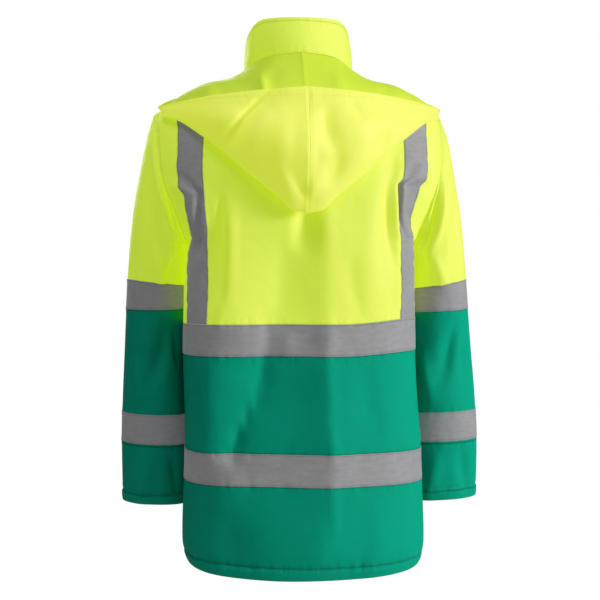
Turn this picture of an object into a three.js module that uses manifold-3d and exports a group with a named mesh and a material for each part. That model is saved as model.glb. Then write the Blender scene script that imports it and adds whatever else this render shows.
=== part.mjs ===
// Hi-vis work jacket, worn shape with no wearer: yellow above, green below, with reflective bands.
// Millimetres, +Z up. The front faces -Y and the wearer's left is +X.
// The origin is on the centre line at the height of the side neck points, where the shoulders carry it.
import * as THREE from "three";
import Module from "manifold-3d";
import { mergeVertices } from "three/addons/utils/BufferGeometryUtils.js";

// Cloth and seams.
const WALL = 1.6;
const COLLAR_WALL = 2.8;
const TAPE = 0.9;
const SEAM_GAP = 0.3;
const HEM_TURN = 20;
const HEM_RAISE = 0.6;

// Driving sizes of the garment.
const NECK_HALF = 86;
const NECK_SHARE = 0.333; // share of a panel's width that the neckline takes at its top
const NECK_SIDE = -13;
const NECK_CURVE = 1.4; // how fast the neckline's height leaves the centre
// crowd moves the columns out along the shoulder seam.
const SHOULDER = { x: 236, y: 4, z: -77, crowd: 0.04 };
const HEM = -815;
const PANEL_SEAM = -441;
const ARMPIT = -290;
const BAND = { upperTop: -416, upperBottom: -466, lowerTop: -619, lowerBottom: -670 };
const BRACE = { inner: 0.54, outer: 0.82 };
const ZIP_HALF = 3.6; // half the gap between the front edges

// Half sections of the body from the hem to the yoke. centre is the height on the centre line and edge the
// height at the side seam or armhole, where the cloth is half wide and side deep. wrap is its angle of turn.
const BACK = {
  sign: 1,
  start: 0,
  squareness: 2.8,
  neckDepth: 75,
  neckLevel: 14,
  sections: [
    { level: HEM, centre: HEM, edge: -799, half: 190, depth: 148, side: 16, wrap: 90 },
    { level: -776, centre: -776, edge: -771, half: 197, depth: 152, side: 16, wrap: 90 },
    { level: -640, centre: -640, edge: -640, half: 193, depth: 144, side: 16, wrap: 90 },
    { level: -440, centre: -440, edge: -440, half: 189, depth: 137, side: 15, wrap: 90 },
    { level: ARMPIT, centre: ARMPIT, edge: ARMPIT, half: 187, depth: 143, side: 10, wrap: 90 },
    { level: -262, centre: -262, edge: -279, half: 191, depth: 144, side: 42, wrap: 84 },
    { level: -215, centre: -215, edge: -240, half: 206, depth: 144, side: 66, wrap: 74 },
    { level: -150, centre: -150, edge: -182, half: 226, depth: 139, side: 76, wrap: 64 },
    { level: -85, centre: -85, edge: -128, half: 232, depth: 126, side: 62, wrap: 56 },
    { level: -35, centre: -35, edge: -95, half: 235, depth: 104, side: 33, wrap: 50 },
  ],
};
const FRONT = {
  sign: -1,
  start: ZIP_HALF,
  squareness: 2.4,
  neckDepth: 88,
  neckLevel: -62,
  sections: [
    { level: HEM, centre: -805, edge: -799, half: 190, depth: 154, side: -16, wrap: 90 },
    { level: -776, centre: -774, edge: -771, half: 197, depth: 159, side: -16, wrap: 90 },
    { level: -640, centre: -640, edge: -640, half: 193, depth: 157, side: -16, wrap: 90 },
    { level: -440, centre: -440, edge: -440, half: 189, depth: 153, side: -15, wrap: 90 },
    { level: ARMPIT, centre: ARMPIT, edge: ARMPIT, half: 187, depth: 150, side: -10, wrap: 90 },
    { level: -262, centre: -270, edge: -279, half: 189, depth: 148, side: 20, wrap: 86 },
    { level: -215, centre: -236, edge: -240, half: 199, depth: 145, side: 46, wrap: 76 },
    { level: -150, centre: -190, edge: -182, half: 217, depth: 138, side: 58, wrap: 66 },
    { level: -85, centre: -142, edge: -128, half: 229, depth: 124, side: 48, wrap: 58 },
    { level: -35, centre: -104, edge: -95, half: 234, depth: 106, side: 26, wrap: 52 },
  ],
};
const TOP = 14; // the level of the neckline and shoulder seam

// The lower body hangs a little to the wearer's right, and the sleeves swing the same way towards the cuffs.
const BODY_SWAY = { top: -440, bottom: -620, shift: -6 };
const SLEEVE_SWAY = { top: -150, bottom: -715, shift: -13 };
// Across the shoulder blades and the chest the braces run nearer the centre line, by these shares.
const BRACE_LEAN = { inner: 0.03, outer: 0.08, from: -260, full: -110, back: -60 };
// The left half of the back is pulled towards its armhole.
const BACK_PULL = { level: -250, reach: 90, share: 0.03 };

// Rows and columns where the panels' points are set.
const COLUMNS = [0, 0.11, 0.22, NECK_SHARE, 0.45, BRACE.inner, 0.69, BRACE.outer, 0.91, 1];
const LOWER_ROWS = [
  HEM, HEM + HEM_TURN, -735, BAND.lowerBottom, BAND.lowerTop, -570, -518, BAND.upperBottom,
  PANEL_SEAM - SEAM_GAP,
];
const UPPER_ROWS = [
  PANEL_SEAM, BAND.upperTop, -375, -333, ARMPIT, -272, -240, -205, -165, -125, -85, -48, -15, TOP,
];

// Folds fade out towards the side seam from this share, and both faces lean to one side seam from the other.
const EDGE_FADE = { fold: 0.9, seam: 0.6, shoulder: 0.25 };
// Steps for normals: shares across, and millimetres up.
const STEP = { across: 0.01, up: 2 };

// Large soft folds of the body: across is a signed share of the panel's half width (plus is the wearer's
// left), from and to are levels, lean is how far across the fold moves on its way up, and depth is how far
// it goes out, or in where it is less than nothing.
const BACK_FOLDS = [
  { across: 0.02, from: -600, to: -230, width: 0.2, lean: 0.02, depth: -9 },
  { across: 0.5, from: -430, to: -170, width: 0.085, lean: 0.03, depth: -7 },
  { across: 0.78, from: -320, to: -130, width: 0.08, lean: 0.06, depth: 6 },
  { across: -0.42, from: -330, to: -90, width: 0.06, lean: -0.1, depth: -6 },
  { across: 0.72, from: -640, to: -470, width: 0.1, lean: -0.06, depth: -6 },
  { across: -0.86, from: -600, to: -450, width: 0.07, lean: 0.03, depth: -5 },
  { across: 0.35, from: -830, to: -680, width: 0.14, lean: 0.05, depth: -5 },
];
const FRONT_FOLDS = [
  { across: 0.45, from: -430, to: -190, width: 0.1, lean: 0.12, depth: -6 },
  { across: -0.5, from: -420, to: -160, width: 0.1, lean: -0.12, depth: -6 },
  { across: 0.7, from: -660, to: -470, width: 0.1, lean: -0.05, depth: -6 },
  { across: -0.66, from: -640, to: -480, width: 0.1, lean: 0.05, depth: -5 },
];

// Sleeve rings from the armhole to the cuff. along is the length down the outer side from the shoulder point.
const SLEEVE = [
  { along: 42, outerX: 246, outerZ: -112, innerX: 199, innerZ: -292, centreY: 4, depth: 78 },
  { along: 97, outerX: 257, outerZ: -163, innerX: 195, innerZ: -302, centreY: -4, depth: 84 },
  { along: 166, outerX: 270, outerZ: -230, innerX: 192, innerZ: -317, centreY: -14, depth: 84 },
  { along: 233, outerX: 279, outerZ: -297, innerX: 190, innerZ: -337, centreY: -26, depth: 81 },
  { along: 307, outerX: 286, outerZ: -371, innerX: 189, innerZ: -380, centreY: -42, depth: 76 },
  { along: 391, outerX: 293, outerZ: -455, innerX: 187.5, innerZ: -462, centreY: -54, depth: 70 },
  { along: 482, outerX: 300, outerZ: -546, innerX: 187.5, innerZ: -551, centreY: -62, depth: 64 },
  { along: 561, outerX: 304, outerZ: -625, innerX: 188, innerZ: -630, centreY: -70, depth: 59 },
  { along: 657, outerX: 304, outerZ: -721, innerX: 188, innerZ: -726, centreY: -80, depth: 52 },
];
const SLEEVE_SQUARENESS = 2.15;
const CUFF = 657;
const SLEEVE_SEAM = 307;
const ELBOW_ROWS = [282, SLEEVE_SEAM, SLEEVE_SEAM + SEAM_GAP, 332];
const FOREARM_ROWS = [504, 554];
const SLEEVE_UPPER_ROWS = [0, 18, 42, 68, 97, 130, 166, 200, 233, 258, ELBOW_ROWS[0], SLEEVE_SEAM];
const SLEEVE_LOWER_ROWS = [
  SLEEVE_SEAM + SEAM_GAP, ELBOW_ROWS[3], 391, 447, ...FOREARM_ROWS, 602, CUFF - HEM_TURN, CUFF,
];
// The sleeve starts just outside the armhole's edge: out at its top, under at its bottom, and down there. The
// body's sway reaches it over its first stretch.
const SLEEVE_START = { out: 1.7, under: 2.6, down: 0.4, swayBy: 100 };
// Sleeve folds: around is in degrees from the outer side towards the back, and wind is how far it turns on
// its way down.
const SLEEVE_FOLDS = [
  { around: 118, from: 10, to: 190, width: 20, wind: 28, depth: -7 },
  { around: 84, from: 60, to: 280, width: 17, wind: 34, depth: -5 },
  { around: 250, from: 10, to: 200, width: 20, wind: -26, depth: -7 },
  { around: 60, from: 380, to: 500, width: 24, wind: 30, depth: -4 },
];

// Stand collar: rings from its seam to its top edge.
const COLLAR = [
  { rise: 0, half: NECK_HALF + 1, back: 76, front: 89 },
  { rise: 0.35, half: 88, back: 78, front: 88 },
  { rise: 0.75, half: 86, back: 77, front: 86 },
  { rise: 1, half: 83, back: 75, front: 84 },
];
const COLLAR_TOP = { back: 73, side: 50, front: 2, curve: 1.5 };
const COLLAR_LIFT = 1.6; // from the neck seam's line to the collar's lower edge
const COLLAR_STEPS = 34;
const COLLAR_RISES = [0, 0.3, 0.65, 0.92, 1];
const COLLAR_EDGE = 0.3; // the top edge's half thickness as a share of the wall

// Hood sections from the centre back (at 0) to its front end (at 1). Each starts on the neck seam at the
// angle neck. Its path runs down the inner layer to the bottom fold, and up the outer layer to the rim.
const HOOD = [
  { at: 0, neck: 0, path: [[0, 131, -52], [0, 164, -240], [0, 198, -150], [0, 176, -49]] },
  { at: 0.22, neck: 34, path: [[66, 126, -52], [58, 160, -205], [66, 190, -130], [70, 168, -54]] },
  { at: 0.46, neck: 72, path: [[122, 104, -46], [138, 138, -138], [146, 152, -98], [148, 130, -60]] },
  { at: 0.6, neck: 90, path: [[146, 62, -38], [192, 96, -94], [200, 96, -84], [202, 82, -66]] },
  { at: 0.68, neck: 100, path: [[154, 30, -34], [215, 60, -82], [223, 56, -76], [229, 46, -69]] },
  { at: 0.84, neck: 124, path: [[104, -36, -32], [136, -26, -40], [148, -20, -44], [159, -14, -48]] },
  { at: 1, neck: 148, path: [[54, -86, -64], [58, -91, -69], [60, -94, -73], [62, -97, -77]] },
];
const HOOD_KEYS = [0, 0.2, 0.5, 0.75, 1];
const HOOD_START = { spread: 6, lift: 3 }; // from the neck seam's line to the hood's first edge
const HOOD_SEAM_GAP = 0.3;
// How far the hood's cloth lies off the yoke beside the neck, and further out over the braces.
const HOOD_CLEARANCE = { neck: 3.8, braces: 7, from: 105, to: 150, passes: 3 };
const YOKE = { bottom: -300, rows: 40, columns: 30 }; // where the yoke's points are taken for this
const HOOD_ACROSS = [0, 0.07, 0.15, 0.22, 0.3, 0.38, 0.46, 0.54, 0.6, 0.64, 0.68, 0.76, 0.84, 0.92, 1];
const HOOD_DOWN = [0, 0.09, 0.18, 0.27, 0.36, 0.43, 0.47, 0.5, 0.53, 0.57, 0.64, 0.73, 0.82, 0.91, 1];

// Zip, slider and pull tab.
const ZIP = {
  tapeHalf: 15, tapeThick: 0.8, tapeOut: -2.1, chainHalf: 3.2, chainOut: 1.4, chainSide: 0.1, bottomGap: 20,
  topGap: 7,
};
const ZIP_RISES = [0.1, 0.3, 0.55, 0.78];
// lift is how far the slider's plate stands off the middle of the collar's wall, and sink how far joined
// pieces overlap.
const SLIDER = {
  width: 9, length: 13, chamfer: 2, plate: 2, rise: 0.74, lift: 1.7,
  bridgeHalf: 1.1, legOut: 4.6, legIn: 3.5, bridgeUnder: 4.4, bridgeTop: 5.4, sink: 0.2,
};
const PULL = { pin: 0.8, window: 7, inner: 1.9, outer: 3.8, length: 30, half: 0.6 };

const YELLOW = new THREE.Color(0xd2f02c);
const GREEN = new THREE.Color(0x008a6a);
const SILVER = new THREE.Color(0x8f8f90);
const STEEL = new THREE.Color(0x55585c);

const rad = THREE.MathUtils.degToRad;
const lerp = THREE.MathUtils.lerp;
const smooth = THREE.MathUtils.smoothstep;
const V = (x, y, z) => new THREE.Vector3(x, y, z);

// A cosine or sine flattened or squared off, for superellipses.
const squared = (value, squareness) => Math.sign(value) * Math.abs(value) ** (2 / squareness);

// A smooth curve through points at increasing keys. endSlope, if given, is the slope at the last point.
function through(keys, points, t, endSlope = null) {
  const last = keys.length - 1;
  let i = 0;
  while (i < last - 1 && t > keys[i + 1]) i++;
  const slope = (k) => {
    if (k === last && endSlope) return endSlope;
    const a = Math.max(0, k - 1);
    const b = Math.min(last, k + 1);
    return points[b].clone().sub(points[a]).divideScalar(keys[b] - keys[a]);
  };
  const span = keys[i + 1] - keys[i];
  const s = THREE.MathUtils.clamp((t - keys[i]) / span, 0, 1);
  const s2 = s * s;
  const s3 = s2 * s;
  return points[i]
    .clone()
    .multiplyScalar(2 * s3 - 3 * s2 + 1)
    .addScaledVector(slope(i), span * (s3 - 2 * s2 + s))
    .addScaledVector(points[i + 1], 3 * s2 - 2 * s3)
    .addScaledVector(slope(i + 1), span * (s3 - s2));
}

// Depth of the soft folds at a place: each is a rounded trough or ridge that fades at both ends.
function foldDepth(folds, across, down, fromKey, toKey, moveKey, placeKey) {
  let sum = 0;
  for (const fold of folds) {
    const share = (down - fold[fromKey]) / (fold[toKey] - fold[fromKey]);
    if (share <= 0 || share >= 1) continue;
    const centre = fold[placeKey] + fold[moveKey] * (share - 0.5);
    const off = (across - centre) / fold.width;
    sum += fold.depth * Math.sin(Math.PI * share) ** 1.3 * Math.exp(-off * off);
  }
  return sum;
}

// A point of one half section of the body.
function sectionPoint(face, section, share) {
  const wrap = rad(section.wrap);
  const turn = share * wrap;
  const flat = (angle) => squared(Math.cos(angle), face.squareness);
  const wide = squared(Math.sin(turn) / Math.sin(wrap), face.squareness);
  const deep = (flat(turn) - flat(wrap)) / (1 - flat(wrap));
  return V(
    lerp(face.start, section.half, wide),
    face.sign * lerp(section.side, section.depth, deep),
    lerp(section.centre, section.edge, share * share),
  );
}

// The top row of a panel: the neckline, then the shoulder seam.
function topPoint(face, share) {
  if (share <= NECK_SHARE) {
    const turn = (share / NECK_SHARE) * (Math.PI / 2);
    const back = Math.cos(turn);
    const level = lerp(NECK_SIDE, face.neckLevel, back ** NECK_CURVE);
    return V(lerp(face.start, NECK_HALF, Math.sin(turn)), face.sign * face.neckDepth * back, level);
  }
  const t = (share - NECK_SHARE) / (1 - NECK_SHARE);
  const out = t + SHOULDER.crowd * Math.sin(2 * Math.PI * t);
  return V(lerp(NECK_HALF, SHOULDER.x, out), SHOULDER.y * out, lerp(NECK_SIDE, SHOULDER.z, out));
}

// The body's surface without its folds, on the +X half.
function plainBody(face, share, level) {
  const keys = [...face.sections.map((s) => s.level), TOP];
  const points = [...face.sections.map((s) => sectionPoint(face, s, share)), topPoint(face, share)];
  const other = face === BACK ? FRONT : BACK;
  const before = points[points.length - 2];
  const span = TOP - keys[keys.length - 2];
  const oneSided = points[points.length - 1].clone().sub(before).divideScalar(span);
  const acrossSeam = sectionPoint(other, other.sections[other.sections.length - 1], share)
    .sub(before)
    .divideScalar(2 * span);
  const slope = oneSided.lerp(acrossSeam, smooth(share, NECK_SHARE, NECK_SHARE + EDGE_FADE.shoulder));
  const point = through(keys, points, level, slope);
  if (level < ARMPIT) {
    // Below the armhole both faces end on one side seam.
    const mean = (edgeDepth(BACK, level) + edgeDepth(FRONT, level)) / 2;
    point.y += (mean - edgeDepth(face, level)) * smooth(share, EDGE_FADE.seam, 1);
  }
  return point;
}

function edgeDepth(face, level) {
  const keys = face.sections.map((s) => s.level);
  return through(keys, face.sections.map((s) => V(0, face.sign * s.side, 0)), level).y;
}

// Outward normal of a surface given as a function of two shares, by small steps.
function normalOf(surface, u, v, stepU, stepV, lowU, highU, lowV, highV) {
  const du = surface(Math.min(highU, u + stepU), v).sub(surface(Math.max(lowU, u - stepU), v));
  const dv = surface(u, Math.min(highV, v + stepV)).sub(surface(u, Math.max(lowV, v - stepV)));
  return du.cross(dv).normalize();
}

const bodyTurn = (surface, u, v) => normalOf(surface, u, v, STEP.across, STEP.up, 0, 1, HEM, TOP);
const shareTurn = (surface, u, v, low, high) =>
  normalOf(surface, u, v, STEP.across, STEP.across, low, high, 0, 1);

// Minus zero is the right half's edge at the centre line.
const onRight = (across) => across < 0 || Object.is(across, -0);

const sway = ({ top, bottom, shift }, z) => shift * (1 - smooth(z, bottom, top));

// The share of the half width where a column runs at a level.
function columnShare(share, level) {
  const lean = smooth(level, BRACE_LEAN.from, BRACE_LEAN.full) * (1 - smooth(level, BRACE_LEAN.back, TOP));
  const inner = BRACE.inner - BRACE_LEAN.inner * lean;
  const outer = BRACE.outer - BRACE_LEAN.outer * lean;
  if (share < BRACE.inner) return (share * inner) / BRACE.inner;
  if (share > BRACE.outer) return 1 - ((1 - share) * (1 - outer)) / (1 - BRACE.outer);
  return lerp(inner, outer, (share - BRACE.inner) / (BRACE.outer - BRACE.inner));
}

// The body's surface with its folds. across is signed: plus is the wearer's left.
function body(face, across, level) {
  let share = columnShare(Math.abs(across), level);
  if (face === BACK && across > 0) {
    const off = (level - BACK_PULL.level) / BACK_PULL.reach;
    share += BACK_PULL.share * Math.exp(-off * off) * Math.sin(Math.PI * share);
  }
  const plain = (u, v) => plainBody(face, u, v);
  const point = plain(share, level);
  const folds = face === BACK ? BACK_FOLDS : FRONT_FOLDS;
  const depth = foldDepth(folds, across, level, "from", "to", "lean", "across");
  if (depth) {
    const edge = 1 - smooth(share, EDGE_FADE.fold, 1);
    const normal = bodyTurn(plain, share, level);
    point.addScaledVector(normal, -face.sign * depth * edge);
  }
  if (onRight(across)) point.x = -point.x;
  point.x += sway(BODY_SWAY, level);
  return point;
}

const bodyNormal = (face, across, level) => {
  const s = onRight(across) ? -1 : 1;
  const surface = (u, v) => body(face, s * u, v);
  return bodyTurn(surface, Math.abs(across), level).multiplyScalar(-s * face.sign);
};

// One body panel's grid: a row for each level, and a column for each place across. Its side seam and top edge
// are drawn back by a seam's gap, towards a point this near them.
const DRAW_BACK = { share: 0.985, up: 4 };
function bodyGrid(face, columns, rows) {
  return rows.map((level) =>
    columns.map((across) => {
      const point = body(face, across, level);
      const normal = bodyNormal(face, across, level);
      const onShoulder = level === TOP && Math.abs(across) >= NECK_SHARE;
      if (onShoulder || (Math.abs(across) === 1 && level <= ARMPIT)) {
        normal.add(bodyNormal(face === BACK ? FRONT : BACK, across, level)).normalize();
      }
      const drawBack = (towards) => point.addScaledVector(towards.sub(point).normalize(), SEAM_GAP);
      if (Math.abs(across) === 1) drawBack(body(face, across * DRAW_BACK.share, level));
      if (level === TOP) drawBack(body(face, across, level - DRAW_BACK.up));
      return { point, normal };
    }),
  );
}

// A closed wall on a grid of points and normals, moved in and out from the grid by the two offsets.
function wallGeometry(grid, inner, outer, ring = false) {
  const rows = grid.length;
  const columns = grid[0].length;
  const at = (layer, i, j) => (layer * rows + i) * columns + (j % columns);
  const positions = [];
  for (const layer of [0, 1]) {
    grid.forEach((line, i) =>
      line.forEach(({ point, normal }, j) => {
        const offset = layer ? outer(i, j) : inner(i, j);
        positions.push(...point.clone().addScaledVector(normal, offset).toArray());
      }),
    );
  }
  const index = [];
  const quad = (a, b, c, d) => index.push(a, b, c, a, c, d);
  const across = ring ? columns : columns - 1;
  for (let i = 0; i < rows - 1; i++) {
    for (let j = 0; j < across; j++) {
      quad(at(1, i, j), at(1, i, j + 1), at(1, i + 1, j + 1), at(1, i + 1, j));
      index.push(at(0, i, j), at(0, i + 1, j + 1), at(0, i, j + 1));
      index.push(at(0, i, j), at(0, i + 1, j), at(0, i + 1, j + 1));
    }
  }
  for (let j = 0; j < across; j++) {
    quad(at(0, 0, j), at(0, 0, j + 1), at(1, 0, j + 1), at(1, 0, j));
    quad(at(1, rows - 1, j), at(1, rows - 1, j + 1), at(0, rows - 1, j + 1), at(0, rows - 1, j));
  }
  if (!ring) {
    for (let i = 0; i < rows - 1; i++) {
      quad(at(1, i, 0), at(1, i + 1, 0), at(0, i + 1, 0), at(0, i, 0));
      const j = columns - 1;
      quad(at(0, i, j), at(0, i + 1, j), at(1, i + 1, j), at(1, i, j));
    }
  }
  return closedGeometry(positions, index);
}

// A geometry whose faces point out, whichever way its rows were given.
function closedGeometry(positions, index) {
  const corner = (k) => V(...positions.slice(3 * index[k], 3 * index[k] + 3));
  let volume = 0;
  for (let k = 0; k < index.length; k += 3) {
    volume += corner(k).dot(corner(k + 1).cross(corner(k + 2)));
  }
  if (volume < 0) {
    for (let k = 0; k < index.length; k += 3) [index[k + 1], index[k + 2]] = [index[k + 2], index[k + 1]];
  }
  const geometry = new THREE.BufferGeometry();
  geometry.setAttribute("position", new THREE.Float32BufferAttribute(positions, 3));
  geometry.setIndex(index);
  geometry.computeVertexNormals();
  return geometry;
}

const group = new THREE.Group();
function addMesh(name, geometry, color, roughness = 0.75, metalness = 0) {
  const mesh = new THREE.Mesh(geometry, new THREE.MeshStandardMaterial({ color, roughness, metalness }));
  mesh.name = name;
  group.add(mesh);
  return mesh;
}

const mirrored = (columns) => [...columns.slice(1).reverse().map((c) => -c), ...columns];
const half = WALL / 2;

// Panels: the turned hem is thicker on its outer side, as a doubled edge is.
function addPanel(name, face, columns, rows, color) {
  const grid = bodyGrid(face, columns, rows);
  const outer = (i) => half + (rows[i] <= HEM + HEM_TURN - 1 ? HEM_RAISE : 0);
  addMesh(name, wallGeometry(grid, () => -half, outer), color);
  return grid;
}

// Reflective tape lies on the panels' own points, moved out.
function addTape(name, grid, ring = false) {
  const low = half + SEAM_GAP;
  addMesh(name, wallGeometry(grid, () => low, () => low + TAPE, ring), SILVER, 0.45);
}

const left = COLUMNS;
const right = COLUMNS.map((c) => -c);
const whole = mirrored(COLUMNS);
addPanel("back_upper", BACK, whole, UPPER_ROWS, YELLOW);
addPanel("back_lower", BACK, whole, LOWER_ROWS, GREEN);
for (const [side, columns] of [["left", left], ["right", right]]) {
  addPanel(`front_${side}_upper`, FRONT, columns, UPPER_ROWS, YELLOW);
  addPanel(`front_${side}_lower`, FRONT, columns, LOWER_ROWS, GREEN);
}

const UPPER_BAND_ROWS = [BAND.upperBottom, PANEL_SEAM - SEAM_GAP, PANEL_SEAM, BAND.upperTop];
const LOWER_BAND_ROWS = [BAND.lowerBottom, BAND.lowerTop];
for (const [place, rows] of [["upper", UPPER_BAND_ROWS], ["lower", LOWER_BAND_ROWS]]) {
  addTape(`band_${place}_back`, bodyGrid(BACK, whole, rows));
  addTape(`band_${place}_front_left`, bodyGrid(FRONT, left, rows));
  addTape(`band_${place}_front_right`, bodyGrid(FRONT, right, rows));
}

const BRACE_ROWS = [BAND.upperTop + SEAM_GAP, ...UPPER_ROWS.filter((level) => level > BAND.upperTop)];
const BRACE_COLUMNS = COLUMNS.filter((c) => c >= BRACE.inner && c <= BRACE.outer);
for (const [place, face] of [["back", BACK], ["front", FRONT]]) {
  addTape(`brace_${place}_left`, bodyGrid(face, BRACE_COLUMNS, BRACE_ROWS));
  const rightColumns = (face === BACK ? BRACE_COLUMNS.slice().reverse() : BRACE_COLUMNS).map((c) => -c);
  addTape(`brace_${place}_right`, bodyGrid(face, rightColumns, BRACE_ROWS));
}

// The armhole's edge as a loop: from the shoulder point down the back to the armpit and up the front.
const ARM_ROWS = UPPER_ROWS.filter((level) => level >= ARMPIT);
const armLoop = [
  ...ARM_ROWS.slice().reverse().map((level) => body(BACK, 1, level)),
  ...ARM_ROWS.slice(1, -1).map((level) => body(FRONT, 1, level)),
];
const armAngles = (() => {
  const count = armLoop.length;
  const steps = armLoop.map((point, i) => point.distanceTo(armLoop[(i + 1) % count]));
  const bottom = ARM_ROWS.length - 1;
  const backLength = steps.slice(0, bottom).reduce((a, b) => a + b, 0);
  const frontLength = steps.slice(bottom).reduce((a, b) => a + b, 0);
  let run = 0;
  return armLoop.map((_, i) => {
    const share = i < bottom ? run / backLength : 1 + (run - backLength) / frontLength;
    const angle = Math.PI * share;
    run += steps[i];
    return angle;
  });
})();

// A point of one ring of the sleeve, at an angle from its outer side towards the back.
function ringPoint(ring, angle) {
  const c = squared(Math.cos(angle), SLEEVE_SQUARENESS);
  const s = squared(Math.sin(angle), SLEEVE_SQUARENESS);
  return V(
    lerp(ring.innerX, ring.outerX, (1 + c) / 2),
    ring.centreY + ring.depth * s,
    lerp(ring.innerZ, ring.outerZ, (1 + c) / 2),
  );
}

// The sleeve's surface. spoke is the number of a point of the armhole loop.
function plainSleeve(spoke, along) {
  const angle = armAngles[spoke];
  const start = armLoop[spoke].clone();
  const low = smooth(-Math.cos(angle), 0.1, 1);
  start.x += lerp(SLEEVE_START.out, SLEEVE_START.under, low);
  start.z -= SLEEVE_START.down * low;
  const keys = [0, ...SLEEVE.map((ring) => ring.along)];
  return through(keys, [start, ...SLEEVE.map((ring) => ringPoint(ring, angle))], along);
}

function sleeveGrid(rows, side) {
  const count = armLoop.length;
  const ringAt = (along) => armLoop.map((_, k) => plainSleeve(k, along));
  const base = rows.map(ringAt);
  const atEnd = (along) => along > CUFF - STEP.up;
  const near = rows.map((along) => ringAt(along + (atEnd(along) ? -STEP.up : STEP.up)));
  return base.map((line, i) =>
    line.map((point, k) => {
      const around = line[(k + 1) % count].clone().sub(line[(k + count - 1) % count]);
      const down = near[i][k].clone().sub(point).multiplyScalar(atEnd(rows[i]) ? -1 : 1);
      const normal = down.cross(around).normalize();
      const degrees = THREE.MathUtils.radToDeg(armAngles[k]);
      const depth = foldDepth(SLEEVE_FOLDS, degrees, rows[i], "from", "to", "wind", "around");
      const moved = point.clone().addScaledVector(normal, depth);
      const outerShare = (1 + Math.cos(armAngles[k])) / 2;
      const swing = lerp(sway(BODY_SWAY, moved.z), sway(SLEEVE_SWAY, moved.z), outerShare);
      moved.x = side * moved.x + swing * smooth(rows[i], 0, SLEEVE_START.swayBy);
      normal.x *= side;
      return { point: moved, normal };
    }),
  );
}

for (const [name, side] of [["left", 1], ["right", -1]]) {
  const upper = sleeveGrid(SLEEVE_UPPER_ROWS, side);
  const lower = sleeveGrid(SLEEVE_LOWER_ROWS, side);
  const cuffOuter = (i) => half + (SLEEVE_LOWER_ROWS[i] > CUFF - HEM_TURN + 1 ? HEM_RAISE : 0);
  addMesh(`sleeve_${name}_upper`, wallGeometry(upper, () => -half, () => half, true), YELLOW);
  addMesh(`sleeve_${name}_lower`, wallGeometry(lower, () => -half, cuffOuter, true), GREEN);
  addTape(`sleeve_${name}_tape_elbow`, sleeveGrid(ELBOW_ROWS, side), true);
  addTape(`sleeve_${name}_tape_forearm`, sleeveGrid(FOREARM_ROWS, side), true);
}

// The neck's outline at an angle from the centre back, at the seam.
function neckPoint(angle, spread = 0) {
  const back = Math.cos(angle);
  const face = back >= 0 ? BACK : FRONT;
  return V(
    (NECK_HALF + spread) * Math.sin(angle),
    (face.neckDepth + spread) * back,
    lerp(NECK_SIDE, face.neckLevel, Math.abs(back) ** NECK_CURVE),
  );
}

// The stand collar's surface at an angle from the centre back, from its seam (0) to its top edge (1).
function collar(angle, rise) {
  const back = Math.cos(angle);
  const base = neckPoint(angle).z + COLLAR_LIFT;
  const middle = back >= 0 ? COLLAR_TOP.back : COLLAR_TOP.front;
  const top = lerp(COLLAR_TOP.side, middle, Math.abs(back) ** COLLAR_TOP.curve);
  const keys = COLLAR.map((r) => r.rise);
  const rings = COLLAR.map((r) => V(r.half, r.back, r.front));
  const ring = through(keys, rings, rise);
  return V(ring.x * Math.sin(angle), (back >= 0 ? ring.y : ring.z) * back, lerp(base, top, rise));
}

const collarOpening = Math.asin(ZIP_HALF / NECK_HALF);
const collarAngles = Array.from({ length: COLLAR_STEPS + 1 }, (_, k) => {
  return lerp(-Math.PI + collarOpening, Math.PI - collarOpening, k / COLLAR_STEPS);
});
const collarNormal = (angle, rise) => shareTurn(collar, angle, rise, -Math.PI, Math.PI).multiplyScalar(-1);
const collarGrid = COLLAR_RISES.map((rise) =>
  collarAngles.map((angle) => ({ point: collar(angle, rise), normal: collarNormal(angle, rise) })),
);
const collarHalf = (i) => COLLAR_WALL * (i === COLLAR_RISES.length - 1 ? COLLAR_EDGE : 0.5);
addMesh("collar", wallGeometry(collarGrid, (i) => -collarHalf(i), collarHalf), YELLOW);

// The hood's surface: at runs from the centre back to the front end, down from the neck seam to the rim.
function hood(at, down) {
  const stations = HOOD.map((s) => s.at);
  const points = HOOD.map((s) => {
    const start = neckPoint(rad(s.neck), HOOD_START.spread);
    start.z += HOOD_START.lift;
    return through(HOOD_KEYS, [start, ...s.path.map((p) => V(...p))], down);
  });
  return through(stations, points, at);
}

// Places on the yoke, which the hood's layers lie on.
const yoke = [BACK, FRONT].flatMap((face) =>
  Array.from({ length: YOKE.rows + 1 }, (_, i) => lerp(YOKE.bottom, TOP, i / YOKE.rows)).flatMap((level) =>
    Array.from({ length: YOKE.columns + 1 }, (_, k) => ({
      point: body(face, k / YOKE.columns, level),
      normal: bodyNormal(face, k / YOKE.columns, level),
    })),
  ),
);

// Moves a point out from the yoke until it is clear of it.
function liftOff(point, clearance) {
  for (let pass = 0; pass < HOOD_CLEARANCE.passes; pass++) {
    let nearest = yoke[0];
    for (const place of yoke) {
      if (place.point.distanceToSquared(point) < nearest.point.distanceToSquared(point)) nearest = place;
    }
    const height = point.clone().sub(nearest.point).dot(nearest.normal);
    if (height >= clearance) break;
    point.addScaledVector(nearest.normal, clearance - height);
  }
  return point;
}

for (const [name, side] of [["left", 1], ["right", -1]]) {
  const grid = HOOD_DOWN.map((down) =>
    HOOD_ACROSS.map((at) => {
      const point = hood(at, down);
      const { neck, braces, from, to } = HOOD_CLEARANCE;
      if (down > 0) liftOff(point, lerp(neck, braces, smooth(point.x, from, to)));
      const normal = shareTurn(hood, at, down, 0, 1);
      if (at === 0) {
        point.x = HOOD_SEAM_GAP / 2;
        normal.x = 0;
        normal.normalize();
      }
      point.x *= side;
      normal.x *= side;
      return { point, normal };
    }),
  );
  addMesh(`hood_${name}`, wallGeometry(grid, () => -half, () => half), YELLOW);
}

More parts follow.
